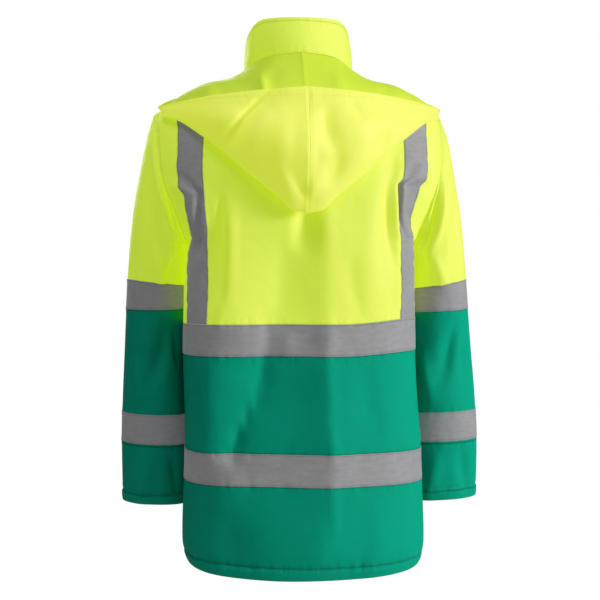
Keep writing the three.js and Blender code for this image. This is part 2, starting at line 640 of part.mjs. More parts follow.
// The front edge: its points and outward normals up the panels and then the collar, off the centre line
// by out.
function frontEdge(out) {
  const bottom = HEM + ZIP.bottomGap;
  const rows = [bottom, ...[...LOWER_ROWS, ...UPPER_ROWS].filter((level) => level > bottom)];
  const turn = Math.PI - Math.asin(out / COLLAR[0].front);
  const panels = rows.map((level) => {
    // On the straight line between the panel's first two columns, so that the tape lies flat behind it.
    const first = body(FRONT, 0, level);
    const second = body(FRONT, COLUMNS[1], level);
    const swayed = first.clone().lerp(second, (out - ZIP_HALF) / (second.x - first.x)).setX(out);
    const normal = bodyNormal(FRONT, STEP.across, level).setX(0);
    if (level === TOP) normal.add(collarNormal(Math.PI, 0));
    return { point: swayed, normal: normal.normalize() };
  });
  const topRise = 1 - ZIP.topGap / (COLLAR_TOP.front - FRONT.neckLevel);
  const rises = [...ZIP_RISES, topRise].map((rise) => ({
    point: collar(turn, rise).setX(out),
    normal: collarNormal(Math.PI, rise),
  }));
  return [...panels, ...rises];
}

const zipColumns = [
  [-ZIP.tapeHalf, ZIP.tapeOut],
  [-ZIP.chainHalf - ZIP.chainSide, ZIP.tapeOut],
  [-ZIP.chainHalf, ZIP.chainOut],
  [ZIP.chainHalf, ZIP.chainOut],
  [ZIP.chainHalf + ZIP.chainSide, ZIP.tapeOut],
  [ZIP.tapeHalf, ZIP.tapeOut],
];
const zipLines = zipColumns.map(([x]) => frontEdge(Math.abs(x)));
const zipGrid = zipLines[0].map((_, i) =>
  zipColumns.map(([x], j) => {
    const { point, normal } = zipLines[j][i];
    const place = point.clone();
    place.x = x + sway(BODY_SWAY, place.z);
    return { point: place, normal };
  }),
);
const zipOuter = (i, j) => zipColumns[j][1];
addMesh("zip_chain", wallGeometry(zipGrid, () => ZIP.tapeOut - ZIP.tapeThick, zipOuter), STEEL, 0.6);

// The slider stands on the chain near the top of the collar. Its own frame: X across, Y up the zip, and Z
// outward.
const sliderSeat = collar(Math.PI, SLIDER.rise);
const sliderOut = collarNormal(Math.PI, SLIDER.rise).setX(0).normalize();
const sliderUp = V(1, 0, 0).cross(sliderOut).multiplyScalar(-1).normalize();
const sliderFrame = new THREE.Matrix4()
  .makeBasis(sliderUp.clone().cross(sliderOut), sliderUp, sliderOut)
  .setPosition(sliderSeat.addScaledVector(sliderOut, SLIDER.lift));

const wasm = await Module();
wasm.setup();

// A closed three.js geometry as a solid that manifold-3d can join.
function toSolid(geometry) {
  const bare = geometry.clone();
  bare.deleteAttribute("normal");
  bare.deleteAttribute("uv");
  const merged = mergeVertices(bare, 1e-4);
  const vertProperties = new Float32Array(merged.attributes.position.array);
  const count = merged.attributes.position.count;
  const plainOrder = Array.from({ length: count }, (_, i) => i);
  const triVerts = new Uint32Array(merged.index ? merged.index.array : plainOrder);
  return new wasm.Manifold(new wasm.Mesh({ numProp: 3, vertProperties, triVerts }));
}

function joinedGeometry(geometries) {
  const solid = geometries.map(toSolid).reduce((sum, next) => sum.add(next));
  const mesh = solid.getMesh();
  const geometry = new THREE.BufferGeometry();
  geometry.setAttribute("position", new THREE.Float32BufferAttribute(mesh.vertProperties, 3));
  geometry.setIndex(Array.from(mesh.triVerts));
  return geometry.applyMatrix4(sliderFrame);
}

const block = (x0, x1, y0, y1, z0, z1) =>
  new THREE.BoxGeometry(x1 - x0, y1 - y0, z1 - z0).translate((x0 + x1) / 2, (y0 + y1) / 2, (z0 + z1) / 2);

// Slider: a shield-shaped plate with a bridge over it for the pull.
const { plate, bridgeHalf, legOut, legIn, bridgeUnder, bridgeTop, sink } = SLIDER;
const wide = SLIDER.width / 2;
const narrow = SLIDER.width / 3;
const long = SLIDER.length / 2;
const shield = new THREE.Shape([
  new THREE.Vector2(-narrow, -long),
  new THREE.Vector2(narrow, -long),
  new THREE.Vector2(wide, 0),
  new THREE.Vector2(wide, long - SLIDER.chamfer),
  new THREE.Vector2(narrow, long),
  new THREE.Vector2(-narrow, long),
  new THREE.Vector2(-wide, long - SLIDER.chamfer),
  new THREE.Vector2(-wide, 0),
]);
const sliderPieces = [
  new THREE.ExtrudeGeometry(shield, { depth: plate, bevelEnabled: false }),
  block(-bridgeHalf, bridgeHalf, legIn, legOut, plate - sink, bridgeTop),
  block(-bridgeHalf, bridgeHalf, -legOut, -legIn, plate - sink, bridgeTop),
  block(-bridgeHalf, bridgeHalf, -legOut, legOut, bridgeUnder, bridgeTop),
];
addMesh("zip_slider", joinedGeometry(sliderPieces), STEEL, 0.4, 0.8);

// Pull tab, hanging down the zip from a pin under the bridge. It turns about the pin.
const pin = { y: PULL.pin + SEAM_GAP - legIn, z: plate + PULL.pin + SEAM_GAP };
const windowEnd = pin.y - PULL.window;
const tab = [pin.z - PULL.half, pin.z + PULL.half];
const pullPieces = [
  block(-PULL.outer, PULL.outer, pin.y - PULL.pin, pin.y + PULL.pin, pin.z - PULL.pin, pin.z + PULL.pin),
  block(-PULL.outer, -PULL.inner, windowEnd, pin.y, ...tab),
  block(PULL.inner, PULL.outer, windowEnd, pin.y, ...tab),
  block(-PULL.outer, PULL.outer, pin.y - PULL.length, windowEnd + sink, ...tab),
];
addMesh("zip_pull", joinedGeometry(pullPieces), STEEL, 0.4, 0.8);

export default group;
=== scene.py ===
import math

import bmesh
import bpy
import numpy as np
from mathutils import Matrix, Vector


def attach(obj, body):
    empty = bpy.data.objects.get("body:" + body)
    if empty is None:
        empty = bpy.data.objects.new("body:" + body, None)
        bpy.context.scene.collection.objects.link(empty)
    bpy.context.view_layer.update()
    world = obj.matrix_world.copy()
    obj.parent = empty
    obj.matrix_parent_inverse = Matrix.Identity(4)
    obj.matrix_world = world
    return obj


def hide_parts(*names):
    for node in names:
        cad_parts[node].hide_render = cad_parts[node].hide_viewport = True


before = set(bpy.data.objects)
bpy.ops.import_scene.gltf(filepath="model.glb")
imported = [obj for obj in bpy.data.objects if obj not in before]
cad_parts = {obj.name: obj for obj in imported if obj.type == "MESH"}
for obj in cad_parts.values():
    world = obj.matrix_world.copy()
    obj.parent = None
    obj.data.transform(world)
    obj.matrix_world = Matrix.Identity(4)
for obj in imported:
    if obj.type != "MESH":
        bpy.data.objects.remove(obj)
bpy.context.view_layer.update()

MM = 0.001

# Sizes of the jacket in millimetres. The front faces -Y and the wearer's left is +X.
NECK_HALF = 86
NECK_SHARE = 0.333
NECK_SIDE = -13
NECK_CURVE = 1.4
SHOULDER = np.array([236, 4, -77])
SHOULDER_CROWD = 0.04
HEM = -815
PANEL_SEAM = -441
ARMPIT = -290
TOP = 14
UPPER_BAND = (-466, -416)
LOWER_BAND = (-670, -619)
BRACE_INNER = 0.54
BRACE_OUTER = 0.82
# The levels where the braces start to lean inwards, lean fully and stop, and how far each edge leans.
BRACE_LEVELS = (-260, -110, -60)
BRACE_LEANS = (0.03, 0.08)
ZIP_HALF = 3.6
HEM_TURN = 20
CUFF_TURN = 20
RIM_TURN = 14

# Sewn lines of the body, how many millimetres a panel's whole half width is, how far the armhole's and the
# tape's stitches lie from their edges, and the distance that stands for no seam nearby.
LEVEL_LINES = (HEM + HEM_TURN, *UPPER_BAND, *LOWER_BAND)
UPRIGHT_LINES = (BRACE_INNER, BRACE_OUTER)
COLUMN_MM = 280
ARM_STITCH = 9
TAPE_STITCH = 2.2
NO_SEAM = 60

# How the jacket hangs to one side lower down: how far, and from which level to which.
BODY_SWAY = (-6, -620, -440)
SLEEVE_SWAY = (-13, -715, -150)

# Where a face's depth is blended into its neighbour's: past the neck, and towards the side seam.
SHOULDER_BLEND = 0.25
SIDE_BLEND = 0.6
# The shares over which folds die out before the side seam: the solids' folds, and the finer ones.
FOLD_SHARES = (0.9, 1)
SEAM_SHARES = (0.93, 1)
# How quickly a fold and a crease die out towards their ends.
FOLD_FADE = 1.3
CREASE_FADE = 0.8

# Small steps across and along for a surface's normals, and how far its rows and columns go.
PLAIN_STEPS = (0.01, 2)
BODY_STEPS = (0.012, 3)
SLEEVE_STEPS = (0.02, 2)
COLLAR_STEPS = (0.02, 0.02)
HOOD_STEPS = (0.01, 0.01)
BODY_ENDS = (HEM, TOP)
WHOLE = (0, 1)
ROUND_ENDS = (-1, 7)

# How far each layer's outer side lies from the middle of the solid's wall, and how thick the layer is.
PANEL_OUT = 0.75
PANEL_THICK = 0.9
TAPE_OUT = 1.35
TAPE_THICK = 0.5

# level, centre, edge, half, depth, side, wrap: half sections of the two faces from the hem to the yoke.
BACK_SECTIONS = [
    (-815, -815, -799, 190, 148, 16, 90),
    (-776, -776, -771, 197, 152, 16, 90),
    (-640, -640, -640, 193, 144, 16, 90),
    (-440, -440, -440, 189, 137, 15, 90),
    (-290, -290, -290, 187, 143, 10, 90),
    (-262, -262, -279, 191, 144, 42, 84),
    (-215, -215, -240, 206, 144, 66, 74),
    (-150, -150, -182, 226, 139, 76, 64),
    (-85, -85, -128, 232, 126, 62, 56),
    (-35, -35, -95, 235, 104, 33, 50),
]
FRONT_SECTIONS = [
    (-815, -805, -799, 190, 154, -16, 90),
    (-776, -774, -771, 197, 159, -16, 90),
    (-640, -640, -640, 193, 157, -16, 90),
    (-440, -440, -440, 189, 153, -15, 90),
    (-290, -290, -290, 187, 150, -10, 90),
    (-262, -270, -279, 189, 148, 20, 86),
    (-215, -236, -240, 199, 145, 46, 76),
    (-150, -190, -182, 217, 138, 58, 66),
    (-85, -142, -128, 229, 124, 48, 58),
    (-35, -104, -95, 234, 106, 26, 52),
]
# across, from, to, width, lean, depth: the solids' own large folds.
BACK_FOLDS = [
    (0.02, -600, -230, 0.2, 0.02, -9),
    (0.5, -430, -170, 0.085, 0.03, -7),
    (0.78, -320, -130, 0.08, 0.06, 6),
    (-0.42, -330, -90, 0.06, -0.1, -6),
    (0.72, -640, -470, 0.1, -0.06, -6),
    (-0.86, -600, -450, 0.07, 0.03, -5),
    (0.35, -830, -680, 0.14, 0.05, -5),
]
FRONT_FOLDS = [
    (0.45, -430, -190, 0.1, 0.12, -6),
    (-0.5, -420, -160, 0.1, -0.12, -6),
    (0.7, -660, -470, 0.1, -0.05, -6),
    (-0.66, -640, -480, 0.1, 0.05, -5),
]


class Face:
    """The back or the front of the body: its way out along Y, where its cloth starts, how square it is,
    its neckline, its half sections and its folds."""

    def __init__(self, sign, start, squareness, neck_depth, neck_level, sections, folds):
        self.sign = sign
        self.start = start
        self.squareness = squareness
        self.neck_depth = neck_depth
        self.neck_level = neck_level
        self.sections = np.array(sections, float)
        self.folds = folds


BACK = Face(1, 0, 2.8, 75, 14, BACK_SECTIONS, BACK_FOLDS)
FRONT = Face(-1, ZIP_HALF, 2.4, 88, -62, FRONT_SECTIONS, FRONT_FOLDS)


def lerp(a, b, t):
    return a + (b - a) * t


def smooth(x, low, high):
    t = np.clip((x - low) / (high - low), 0, 1)
    return t * t * (3 - 2 * t)


def squared(value, squareness):
    return np.sign(value) * np.abs(value) ** (2 / squareness)


def through(keys, points, t, end_slope=None):
    """A smooth curve through points (one set for each place) at increasing keys."""
    keys = np.asarray(keys, float)
    t = np.asarray(t, float)
    points = np.asarray(points, float)
    if points.ndim == 2:
        points = np.broadcast_to(points[:, None, :], (len(keys), len(t), points.shape[1]))
    last = len(keys) - 1
    before = np.maximum(np.arange(last + 1) - 1, 0)
    after = np.minimum(np.arange(last + 1) + 1, last)
    slopes = (points[after] - points[before]) / (keys[after] - keys[before])[:, None, None]
    if end_slope is not None:
        slopes[last] = end_slope
    i = np.searchsorted(keys[1:last], t, side="left")
    span = keys[i + 1] - keys[i]
    s = np.clip((t - keys[i]) / span, 0, 1)
    n = np.arange(len(t))
    parts = (
        (points[i, n], 2 * s**3 - 3 * s**2 + 1),
        (slopes[i, n], span * (s**3 - 2 * s**2 + s)),
        (points[i + 1, n], 3 * s**2 - 2 * s**3),
        (slopes[i + 1, n], span * (s**3 - s**2)),
    )
    return sum(p * w[:, None] for p, w in parts)


def near(distance, reach):
    """1 on a line, and next to nothing at twice the reach."""
    return np.exp(-((distance / reach) ** 2))


def fold_depth(folds, across, down):
    """How far straight folds raise or sink the cloth at each place."""
    total = np.zeros_like(across)
    for place, start, end, width, move, depth in folds:
        share = (down - start) / (end - start)
        inside = (share > 0) & (share < 1)
        off = across - place - move * (share - 0.5)
        fade = np.sin(np.pi * np.clip(share, 0, 1)) ** FOLD_FADE
        total += np.where(inside, depth * fade * near(off, width), 0)
    return total


def sections_at(face, share):
    """Points on all of a face's half sections, at shares of the way round them."""
    centre, edge, half, depth, side, wrap = face.sections[:, 1:, None].transpose(1, 0, 2)
    wrap = np.radians(wrap)
    turn = share[None] * wrap

    def flat(angle):
        return squared(np.maximum(np.cos(angle), 0), face.squareness)

    wide = squared(np.sin(turn) / np.sin(wrap), face.squareness)
    deep = (flat(turn) - flat(wrap)) / (1 - flat(wrap))
    x = lerp(face.start, half, wide)
    y = face.sign * lerp(side, depth, deep)
    z = lerp(centre, edge, share[None] ** 2)
    return np.stack([x, y, z], -1)


def top_at(face, share):
    """Points on a face's top edge: the neckline, then the shoulder seam."""
    turn = np.clip(share / NECK_SHARE, 0, 1) * np.pi / 2
    back = np.maximum(np.cos(turn), 0)
    neck_x = lerp(face.start, NECK_HALF, np.sin(turn))
    neck_z = lerp(NECK_SIDE, face.neck_level, back**NECK_CURVE)
    neck = np.stack([neck_x, face.sign * face.neck_depth * back, neck_z], -1)
    t = np.clip((share - NECK_SHARE) / (1 - NECK_SHARE), 0, 1)
    out = t + SHOULDER_CROWD * np.sin(2 * np.pi * t)
    line = np.array([NECK_HALF, 0, NECK_SIDE]) * (1 - out[:, None]) + SHOULDER * out[:, None]
    return np.where((share <= NECK_SHARE)[:, None], neck, line)


def edge_depth(face, level):
    return through(face.sections[:, 0], face.sign * face.sections[:, 5:6], level)[:, 0]


def plain_body(face, share, level):
    """The left half of a face without folds, which meets the other face along the side and the shoulder."""
    points = np.concatenate([sections_at(face, share), top_at(face, share)[None]])
    keys = np.append(face.sections[:, 0], TOP)
    span = TOP - keys[-2]
    one_sided = (points[-1] - points[-2]) / span
    other = FRONT if face is BACK else BACK
    across_seam = (sections_at(other, share)[-1] - points[-2]) / (2 * span)
    mix = smooth(share, NECK_SHARE, NECK_SHARE + SHOULDER_BLEND)[:, None]
    point = through(keys, points, level, lerp(one_sided, across_seam, mix))
    mean = (edge_depth(BACK, level) + edge_depth(FRONT, level)) / 2
    lean = (mean - edge_depth(face, level)) * smooth(share, SIDE_BLEND, 1)
    point[:, 1] += np.where(level < ARMPIT, lean, 0)
    return point


def slope_normal(surface, u, v, steps, u_ends, v_ends):
    """Unit normals of a surface, by small steps that stay between its ends."""
    du = surface(np.minimum(u_ends[1], u + steps[0]), v) - surface(np.maximum(u_ends[0], u - steps[0]), v)
    dv = surface(u, np.minimum(v_ends[1], v + steps[1])) - surface(u, np.maximum(v_ends[0], v - steps[1]))
    normal = np.cross(du, dv)
    return normal / np.maximum(np.linalg.norm(normal, axis=1), 1e-9)[:, None]


def column_share(share, level):
    """Columns crowd inwards over the yoke, where the braces lean."""
    start, whole, end = BRACE_LEVELS
    lean = smooth(level, start, whole) * (1 - smooth(level, end, TOP))
    inner = BRACE_INNER - BRACE_LEANS[0] * lean
    outer = BRACE_OUTER - BRACE_LEANS[1] * lean
    low = share * inner / BRACE_INNER
    high = 1 - (1 - share) * (1 - outer) / (1 - BRACE_OUTER)
    middle = lerp(inner, outer, (share - BRACE_INNER) / (BRACE_OUTER - BRACE_INNER))
    return np.where(share < BRACE_INNER, low, np.where(share > BRACE_OUTER, high, middle))


def swayed(sway, z):
    """How far the cloth hangs to the side at these levels."""
    reach, low, high = sway
    return reach * (1 - smooth(z, low, high))


# Creases of the back as the photograph shows them, seen square on: x0, z0, x1, z1, bow, width towards +X,
# width towards -X, depth (ridges are more than nothing, troughs less).
BACK_CREASES = [
    (-112, -690, -98, -830, -6, 18, 22, 3),
    (-6, -226, 12, -300, 3, 10, 8, -5),
    (-70, -300, -96, -430, 5, 16, 12, -3),
    (-128, -186, -142, -330, 4, 5, 8, -4.5),
    (-146, -205, -150, -330, 0, 6, 9, 4),
    (-104, -200, -112, -380, 4, 20, 16, 3.5),
    (200, -176, 172, -222, -4, 12, 8, -7),
    (172, -214, 192, -300, -4, 7, 9, -5),
    (160, -200, 158, -300, 3, 12, 12, 4),
    (158, -320, 166, -408, -3, 9, 8, -3),
    (-186, -160, -160, -206, 4, 9, 8, -6),
    (-158, -200, -166, -300, -3, 7, 8, -5),
    (-160, -310, -152, -410, 4, 9, 8, 3),
    (8, -420, 4, -468, 0, 5, 8, -2.6),
    (-10, -414, -16, -466, 0, 6, 5, -2.2),
    (24, -424, 30, -470, 0, 8, 6, 2.2),
    (-96, -484, -120, -610, 4, 20, 14, -2),
]
# The back's wide folds: at each level, how far the cloth stands out at places from right to left.
BACK_RELIEF = {
    -815: [(-190, 4), (-90, 4), (-20, 9), (30, 8), (100, -2), (190, -6)],
    -770: [(-190, 5), (-100, 6), (-50, 11), (-20, 14), (0, 11), (60, 0), (110, -8), (190, -14)],
    -700: [
        (-190, 5), (-110, 4), (-56, 9), (-44, 13), (-38, 13), (0, 5), (40, -3), (84, -9), (110, -9),
        (140, -8), (190, -10),
    ],
    -650: [
        (-190, 5), (-100, 3), (-56, 9), (-40, 12), (-34, 11), (40, -6), (88, -12), (120, -9), (160, -4),
        (190, -4),
    ],
    -622: [
        (-190, 5), (-100, 3), (-56, 10), (-42, 14), (-37, 13), (20, -3), (60, -9), (96, -13), (110, -17),
        (116, -16), (130, -8), (146, 0), (164, 6), (174, 6), (190, 1),
    ],
    -594: [
        (-190, 5), (-100, 3), (-56, 10), (-40, 15), (-35, 14), (20, -2), (60, -9), (90, -14), (102, -19),
        (108, -18), (122, -8), (142, 2), (164, 10), (172, 10), (190, 2),
    ],
    -562: [
        (-190, 5), (-100, 3), (-56, 11), (-36, 16), (-31, 15), (14, -1), (56, -11), (82, -16), (92, -18),
        (100, -14), (124, -3), (154, 9), (166, 10), (190, 1),
    ],
    -530: [
        (-190, 5), (-100, 3), (-56, 11), (-38, 16), (-33, 15), (10, 0), (50, -11), (74, -18), (84, -15),
        (120, -3), (152, 9), (160, 10), (190, 0),
    ],
    -485: [
        (-190, 5), (-100, 3), (-54, 11), (-34, 16), (-29, 15), (10, 1), (46, -10), (66, -18), (78, -14),
        (112, -3), (148, 9), (158, 10), (190, 0),
    ],
    -440: [
        (-190, 5), (-110, 2), (-54, 8), (-38, 12), (-32, 11), (10, -2), (40, -9), (58, -13), (78, -6),
        (120, 2), (160, 7), (190, 6),
    ],
    -390: [
        (-190, 5), (-110, 2), (-56, 5), (-38, 7), (-28, 6), (0, -3), (30, -10), (44, -11), (70, -7),
        (100, -1), (130, 6), (160, 11), (190, 14),
    ],
    -320: [
        (-190, 5), (-150, 3), (-110, 1), (-56, 4), (-38, 6), (-28, 5), (0, -3), (26, -9), (38, -10),
        (64, -6), (100, 0), (122, 5), (132, -4), (142, 7), (154, 10), (190, 14),
    ],
    -260: [
        (-190, 5), (-110, 1), (-52, 4), (-36, 6), (-26, 4), (-6, -8), (4, -9), (20, -3), (40, -2), (80, -1),
        (100, 1), (122, 6), (132, -5), (142, 7), (154, 10), (190, 14),
    ],
    -200: [(-190, 3), (-90, 2), (0, -3), (90, 1), (128, 1), (160, 5), (190, 9)],
    -140: [(-190, 0), (190, 0)],
}
# The relief dies out over these levels towards the neck.
RELIEF_LEVELS = (-200, -140)
# Where the armhole's cloth folds over a brace: side, place, top, reach, shift.
ARM_NOTCHES = [(1, 182, -205, 120, 11), (-1, 172, -190, 100, 20)]
# Such a fold's ridge and the valley beside it, each with its place, height and width. Then the shift's own
# place and width, how far above and below the top it starts, and the length over which it ends.
NOTCH_RIDGE = (0, 6, 8)
NOTCH_VALLEY = (-15, -8, 7)
NOTCH_SHIFT = (7, 19)
NOTCH_START = (-6, 8)
NOTCH_END = 50
# The back's left half is pulled towards the armhole: level, reach and share.
ARM_PULL = (-250, 90, 0.03)
# The waist tape's right end rides a little higher: level, reach, rise, and from where to where it rises.
WAIST_RISE = (-425, 70, 9, 60, 190)
# The half axes of the oval that creases stand out from.
BODY_OVAL = (190, 145)
# Creases of the front, which the photograph doesn't show, so they only continue the back's manner.
FRONT_CREASES = [
    (60, -250, 92, -400, 8, 14, 20, -4),
    (-64, -240, -84, -380, -8, 18, 12, -4),
    (130, -230, 118, -330, 5, 9, 12, 3),
    (-128, -250, -120, -350, -4, 10, 9, 3),
    (70, -480, 96, -600, 6, 20, 12, 3.5),
    (-90, -470, -60, -590, -6, 12, 22, 3.5),
    (100, -690, 80, -800, 4, 16, 14, -3),
    (-70, -680, -96, -790, -4, 14, 16, -3),
]


def crease_depth(creases, x, z):
    """How far bowed creases raise or sink the cloth, seen square on."""
    total = np.zeros_like(x)
    for x0, z0, x1, z1, bow, plus, minus, depth in creases:
        run = np.array([x1 - x0, z1 - z0], float)
        length = np.hypot(*run)
        run /= length
        along = ((x - x0) * run[0] + (z - z0) * run[1]) / length
        side = (x - x0) * -run[1] + (z - z0) * run[0]
        if run[1] > 0:
            side = -side
        inside = np.clip(along, 0, 1)
        side = side - bow * np.sin(np.pi * inside)
        width = np.where(side > 0, plus, minus)
        fade = np.sin(np.pi * inside) ** CREASE_FADE
        total += depth * fade * near(side, width)
    return total


def relief_depth(relief, x, z):
    """How far wide folds raise or sink the cloth, from their heights along some levels."""
    levels = sorted(relief)
    rows = []
    for level in levels:
        places, heights = np.array(relief[level], float).T
        rows.append(through(places, heights[:, None], x))
    return through(levels, np.array(rows), z)[:, 0]


def arm_notches(point, free):
    """Folds the cloth beside the armholes over the braces, and gives the depth that this adds."""
    depth = np.zeros(len(point))
    for way, place, top, reach, shift in ARM_NOTCHES:
        off = way * point[:, 0] - place
        down = top - point[:, 2]
        held = smooth(down, *NOTCH_START) * (1 - smooth(down, reach - NOTCH_END, reach))
        held *= way * point[:, 0] > 0
        for at, height, width in (NOTCH_RIDGE, NOTCH_VALLEY):
            depth += held * height * near(off - at, width)
        point[:, 0] -= way * shift * held * near(off - NOTCH_SHIFT[0], NOTCH_SHIFT[1]) * free
    return depth


def folded_body(face, across, level, side):
    """One face of the body with all its folds. side is 1 on the wearer's left and -1 on the right."""
    share = column_share(np.abs(across), level)
    if face is BACK:
        middle, reach, pulled = ARM_PULL
        pull = pulled * near(level - middle, reach) * np.sin(np.pi * share)
        share = share + np.where(side > 0, pull, 0)
    point = plain_body(face, share, level)
    depth = fold_depth(face.folds, across, level) * (1 - smooth(share, *FOLD_SHARES))
    normal = slope_normal(lambda u, v: plain_body(face, u, v), share, level, PLAIN_STEPS, WHOLE, BODY_ENDS)
    point += normal * (-face.sign * depth)[:, None]
    point[:, 0] = side * point[:, 0] + swayed(BODY_SWAY, level)
    free = 1 - smooth(share, *SEAM_SHARES)
    creases = BACK_CREASES if face is BACK else FRONT_CREASES
    extra = crease_depth(creases, point[:, 0], point[:, 2])
    if face is BACK:
        wide = relief_depth(BACK_RELIEF, point[:, 0], point[:, 2])
        point[:, 1] += wide * (1 - smooth(level, *RELIEF_LEVELS)) * free
        extra += arm_notches(point, free)
    middle, reach, rise, start, end = WAIST_RISE
    point[:, 2] += rise * smooth(-point[:, 0], start, end) * near(level - middle, reach)
    out = point * [1 / BODY_OVAL[0] ** 2, 1 / BODY_OVAL[1] ** 2, 0]
    out /= np.maximum(np.linalg.norm(out, axis=1), 1e-9)[:, None]
    return point + out * (extra * free)[:, None]


# Puckers beside sewn lines: uneven ripples of three lengths (height, length, start). Then how high the cloth
# ripples, and how wide a strip does, beside level lines, upright lines and the armhole's stitches.
RIPPLES = [(0.5, 3.7, 0), (0.3, 2.3, 1.7), (0.4, 6.1, 0.6)]
LEVEL_PUCKER = (0.75, 7)
UPRIGHT_PUCKER = (0.7, 6)
ARM_PUCKER = (0.7, 5)
# Upright lines don't ripple alike: how far apart the braces' ripples start, and the armhole's rate and start.
BRACE_PHASE = 40
ARM_RATE = 0.9
ARM_PHASE = 11
# A turned edge: how deep and wide the groove along its stitches is. The doubled cloth rolls out by as much.
HEM_GROOVE = (1.5, 2.6)
CUFF_GROOVE = (1.3, 2.6)
ROLL_SHAPE = 0.7


def waves(along):
    return sum(height * np.sin(along / length + start) for height, length, start in RIPPLES)


def turned_edge(inside, turn, groove):
    """The groove along a turned edge's stitches, and the roll between them and the edge. inside is how far a
    place is from the edge."""
    depth, width = groove
    roll = np.sin(np.pi * np.clip((turn - inside) / turn, 0, 1)) ** ROLL_SHAPE
    return depth * (roll - near(inside - turn, width))


def body_pucker(across, level):
    """The cloth ripples beside its sewn lines."""
    share = np.abs(across)
    height, width = LEVEL_PUCKER
    rise = sum(near(level - line, width) for line in LEVEL_LINES) * waves(across * COLUMN_MM) * height
    above = level > UPPER_BAND[1]
    height, width = UPRIGHT_PUCKER
    for line in UPRIGHT_LINES:
        beside = near((share - line) * COLUMN_MM, width)
        rise += above * beside * waves(level + BRACE_PHASE * across) * height
    height, width = ARM_PUCKER
    beside = near((1 - share) * COLUMN_MM - ARM_STITCH, width)
    rise += (level > ARMPIT) * beside * waves(level * ARM_RATE + ARM_PHASE) * height
    return rise + turned_edge(level - HEM, HEM_TURN, HEM_GROOVE)


def body_place(face, side=None):
    """A function from columns, rows and lift to points on one face of the body."""
    ends = {None: (-1, 1), 1: (0, 1), -1: (-1, 0)}[side]

    def sides(across):
        return np.where(across < 0, -1, 1) if side is None else np.full(len(across), side)

    def surface(across, level):
        return folded_body(face, across, level, sides(across))

    def place(across, level, lift):
        normal = slope_normal(surface, across, level, BODY_STEPS, ends, BODY_ENDS)
        lift = lift + body_pucker(across, level)
        return surface(across, level) + normal * (-face.sign * lift)[:, None]

    return place


# Sleeves: along, outerX, outerZ, innerX, innerZ, centreY, depth.
SLEEVE = np.array(
    [
        (42, 246, -112, 188.5, -293, 4, 78),
        (97, 257, -163, 187.5, -302, -4, 84),
        (166, 270, -230, 187.5, -317, -14, 84),
        (233, 279, -297, 187.5, -337, -26, 81),
        (307, 286, -371, 188, -380, -42, 76),
        (391, 293, -455, 187.5, -462, -54, 70),
        (482, 300, -546, 187.5, -551, -62, 64),
        (561, 304, -625, 188, -630, -70, 59),
        (657, 304, -721, 188, -726, -80, 52),
    ]
)
SLEEVE_SQUARENESS = 2.15
CUFF = 657
SLEEVE_SEAM = 307
ELBOW_TAPE = (282, 332)
FOREARM_TAPE = (504, 554)
SLEEVE_LINES = (*ELBOW_TAPE, *FOREARM_TAPE, CUFF - CUFF_TURN)
SLEEVE_ENDS = (0, CUFF)
# How far a sleeve starts inside the armhole at the top and at the armpit, how far it drops there, and which
# part of its round counts as under the arm.
SLEEVE_INSIDE = (-1.5, -3)
ARMPIT_DROP = 0.4
UNDER_ARM = (0.1, 1)
# The distance over which a sleeve comes to hang its own way.
SLEEVE_START = 100
# The left elbow tape lies level: how far its inner side rises, where along the sleeve, and over what reach.
ELBOW_RISE = (7, 320, 110)
# The radius that ripples round a sleeve are measured on, and their height and width beside a sewn line and
# beside the armhole.
SLEEVE_RADIUS = 71.5232
SLEEVE_PUCKER = (0.7, 7)
ARMHOLE_PUCKER = (0.8, 18)
# around in degrees from the outer side towards the back, from, to, width, wind, depth.
SLEEVE_FOLDS = [
    (118, 10, 190, 20, 28, -7),
    (84, 60, 280, 17, 34, -5),
    (250, 10, 200, 20, -26, -7),
    (60, 380, 500, 24, 30, -4),
]
# More, and narrower, on each sleeve.
SLEEVE_CREASES = {
    1: [
        (140, 4, 150, 9, -24, -7.5),
        (118, 20, 190, 8, 22, 6),
        (104, 14, 132, 9, 120, -7),
        (96, 34, 150, 10, 120, 5),
        (60, 40, 250, 14, 24, -7.5),
        (126, 170, 290, 9, -26, -7.5),
        (92, 190, 300, 10, 20, 6),
        (40, 200, 300, 12, -16, -4.5),
        (100, 335, 470, 14, -34, -9),
        (60, 400, 500, 12, 20, 6),
        (135, 340, 440, 9, 12, -6),
        (125, 556, 655, 12, 16, -6),
        (70, 560, 668, 14, -14, 6),
        (215, 60, 250, 12, 30, -6),
        (290, 30, 160, 12, -24, -4.5),
        (260, 340, 480, 14, 22, -4.5),
    ],
    -1: [
        (128, 4, 100, 9, -26, -10.5),
        (104, 24, 150, 8, 40, -9),
        (84, 50, 180, 8, 30, 9),
        (60, 110, 270, 12, 30, -7.5),
        (136, 120, 280, 10, -24, -7.5),
        (96, 205, 305, 9, -22, 6),
        (84, 340, 470, 13, 30, -9),
        (120, 380, 505, 10, -18, 6),
        (50, 350, 450, 10, 14, -4.5),
        (60, 556, 660, 12, -18, -6),
        (110, 560, 668, 12, 14, 6),
        (220, 50, 240, 12, 28, -6),
        (285, 40, 170, 12, -20, -4.5),
        (255, 350, 490, 14, -22, -4.5),
    ],
}


def arm_loop(count=40):
    """The armhole's edge, from the shoulder point down the back to the armpit and up the front."""
    levels = np.linspace(TOP, ARMPIT, count)
    ones = np.ones(count)
    back = folded_body(BACK, ones, levels, ones)
    front = folded_body(FRONT, ones, levels, ones)[::-1]
    loop = np.concatenate([back, front[1:]])
    steps = np.linalg.norm(np.diff(loop, axis=0), axis=1)
    run = np.concatenate([[0], np.cumsum(steps)])
    bottom = count - 1
    low = run / run[bottom]
    high = 1 + (run - run[bottom]) / (run[-1] - run[bottom])
    angle = np.pi * np.where(np.arange(len(loop)) <= bottom, low, high)
    return angle, loop


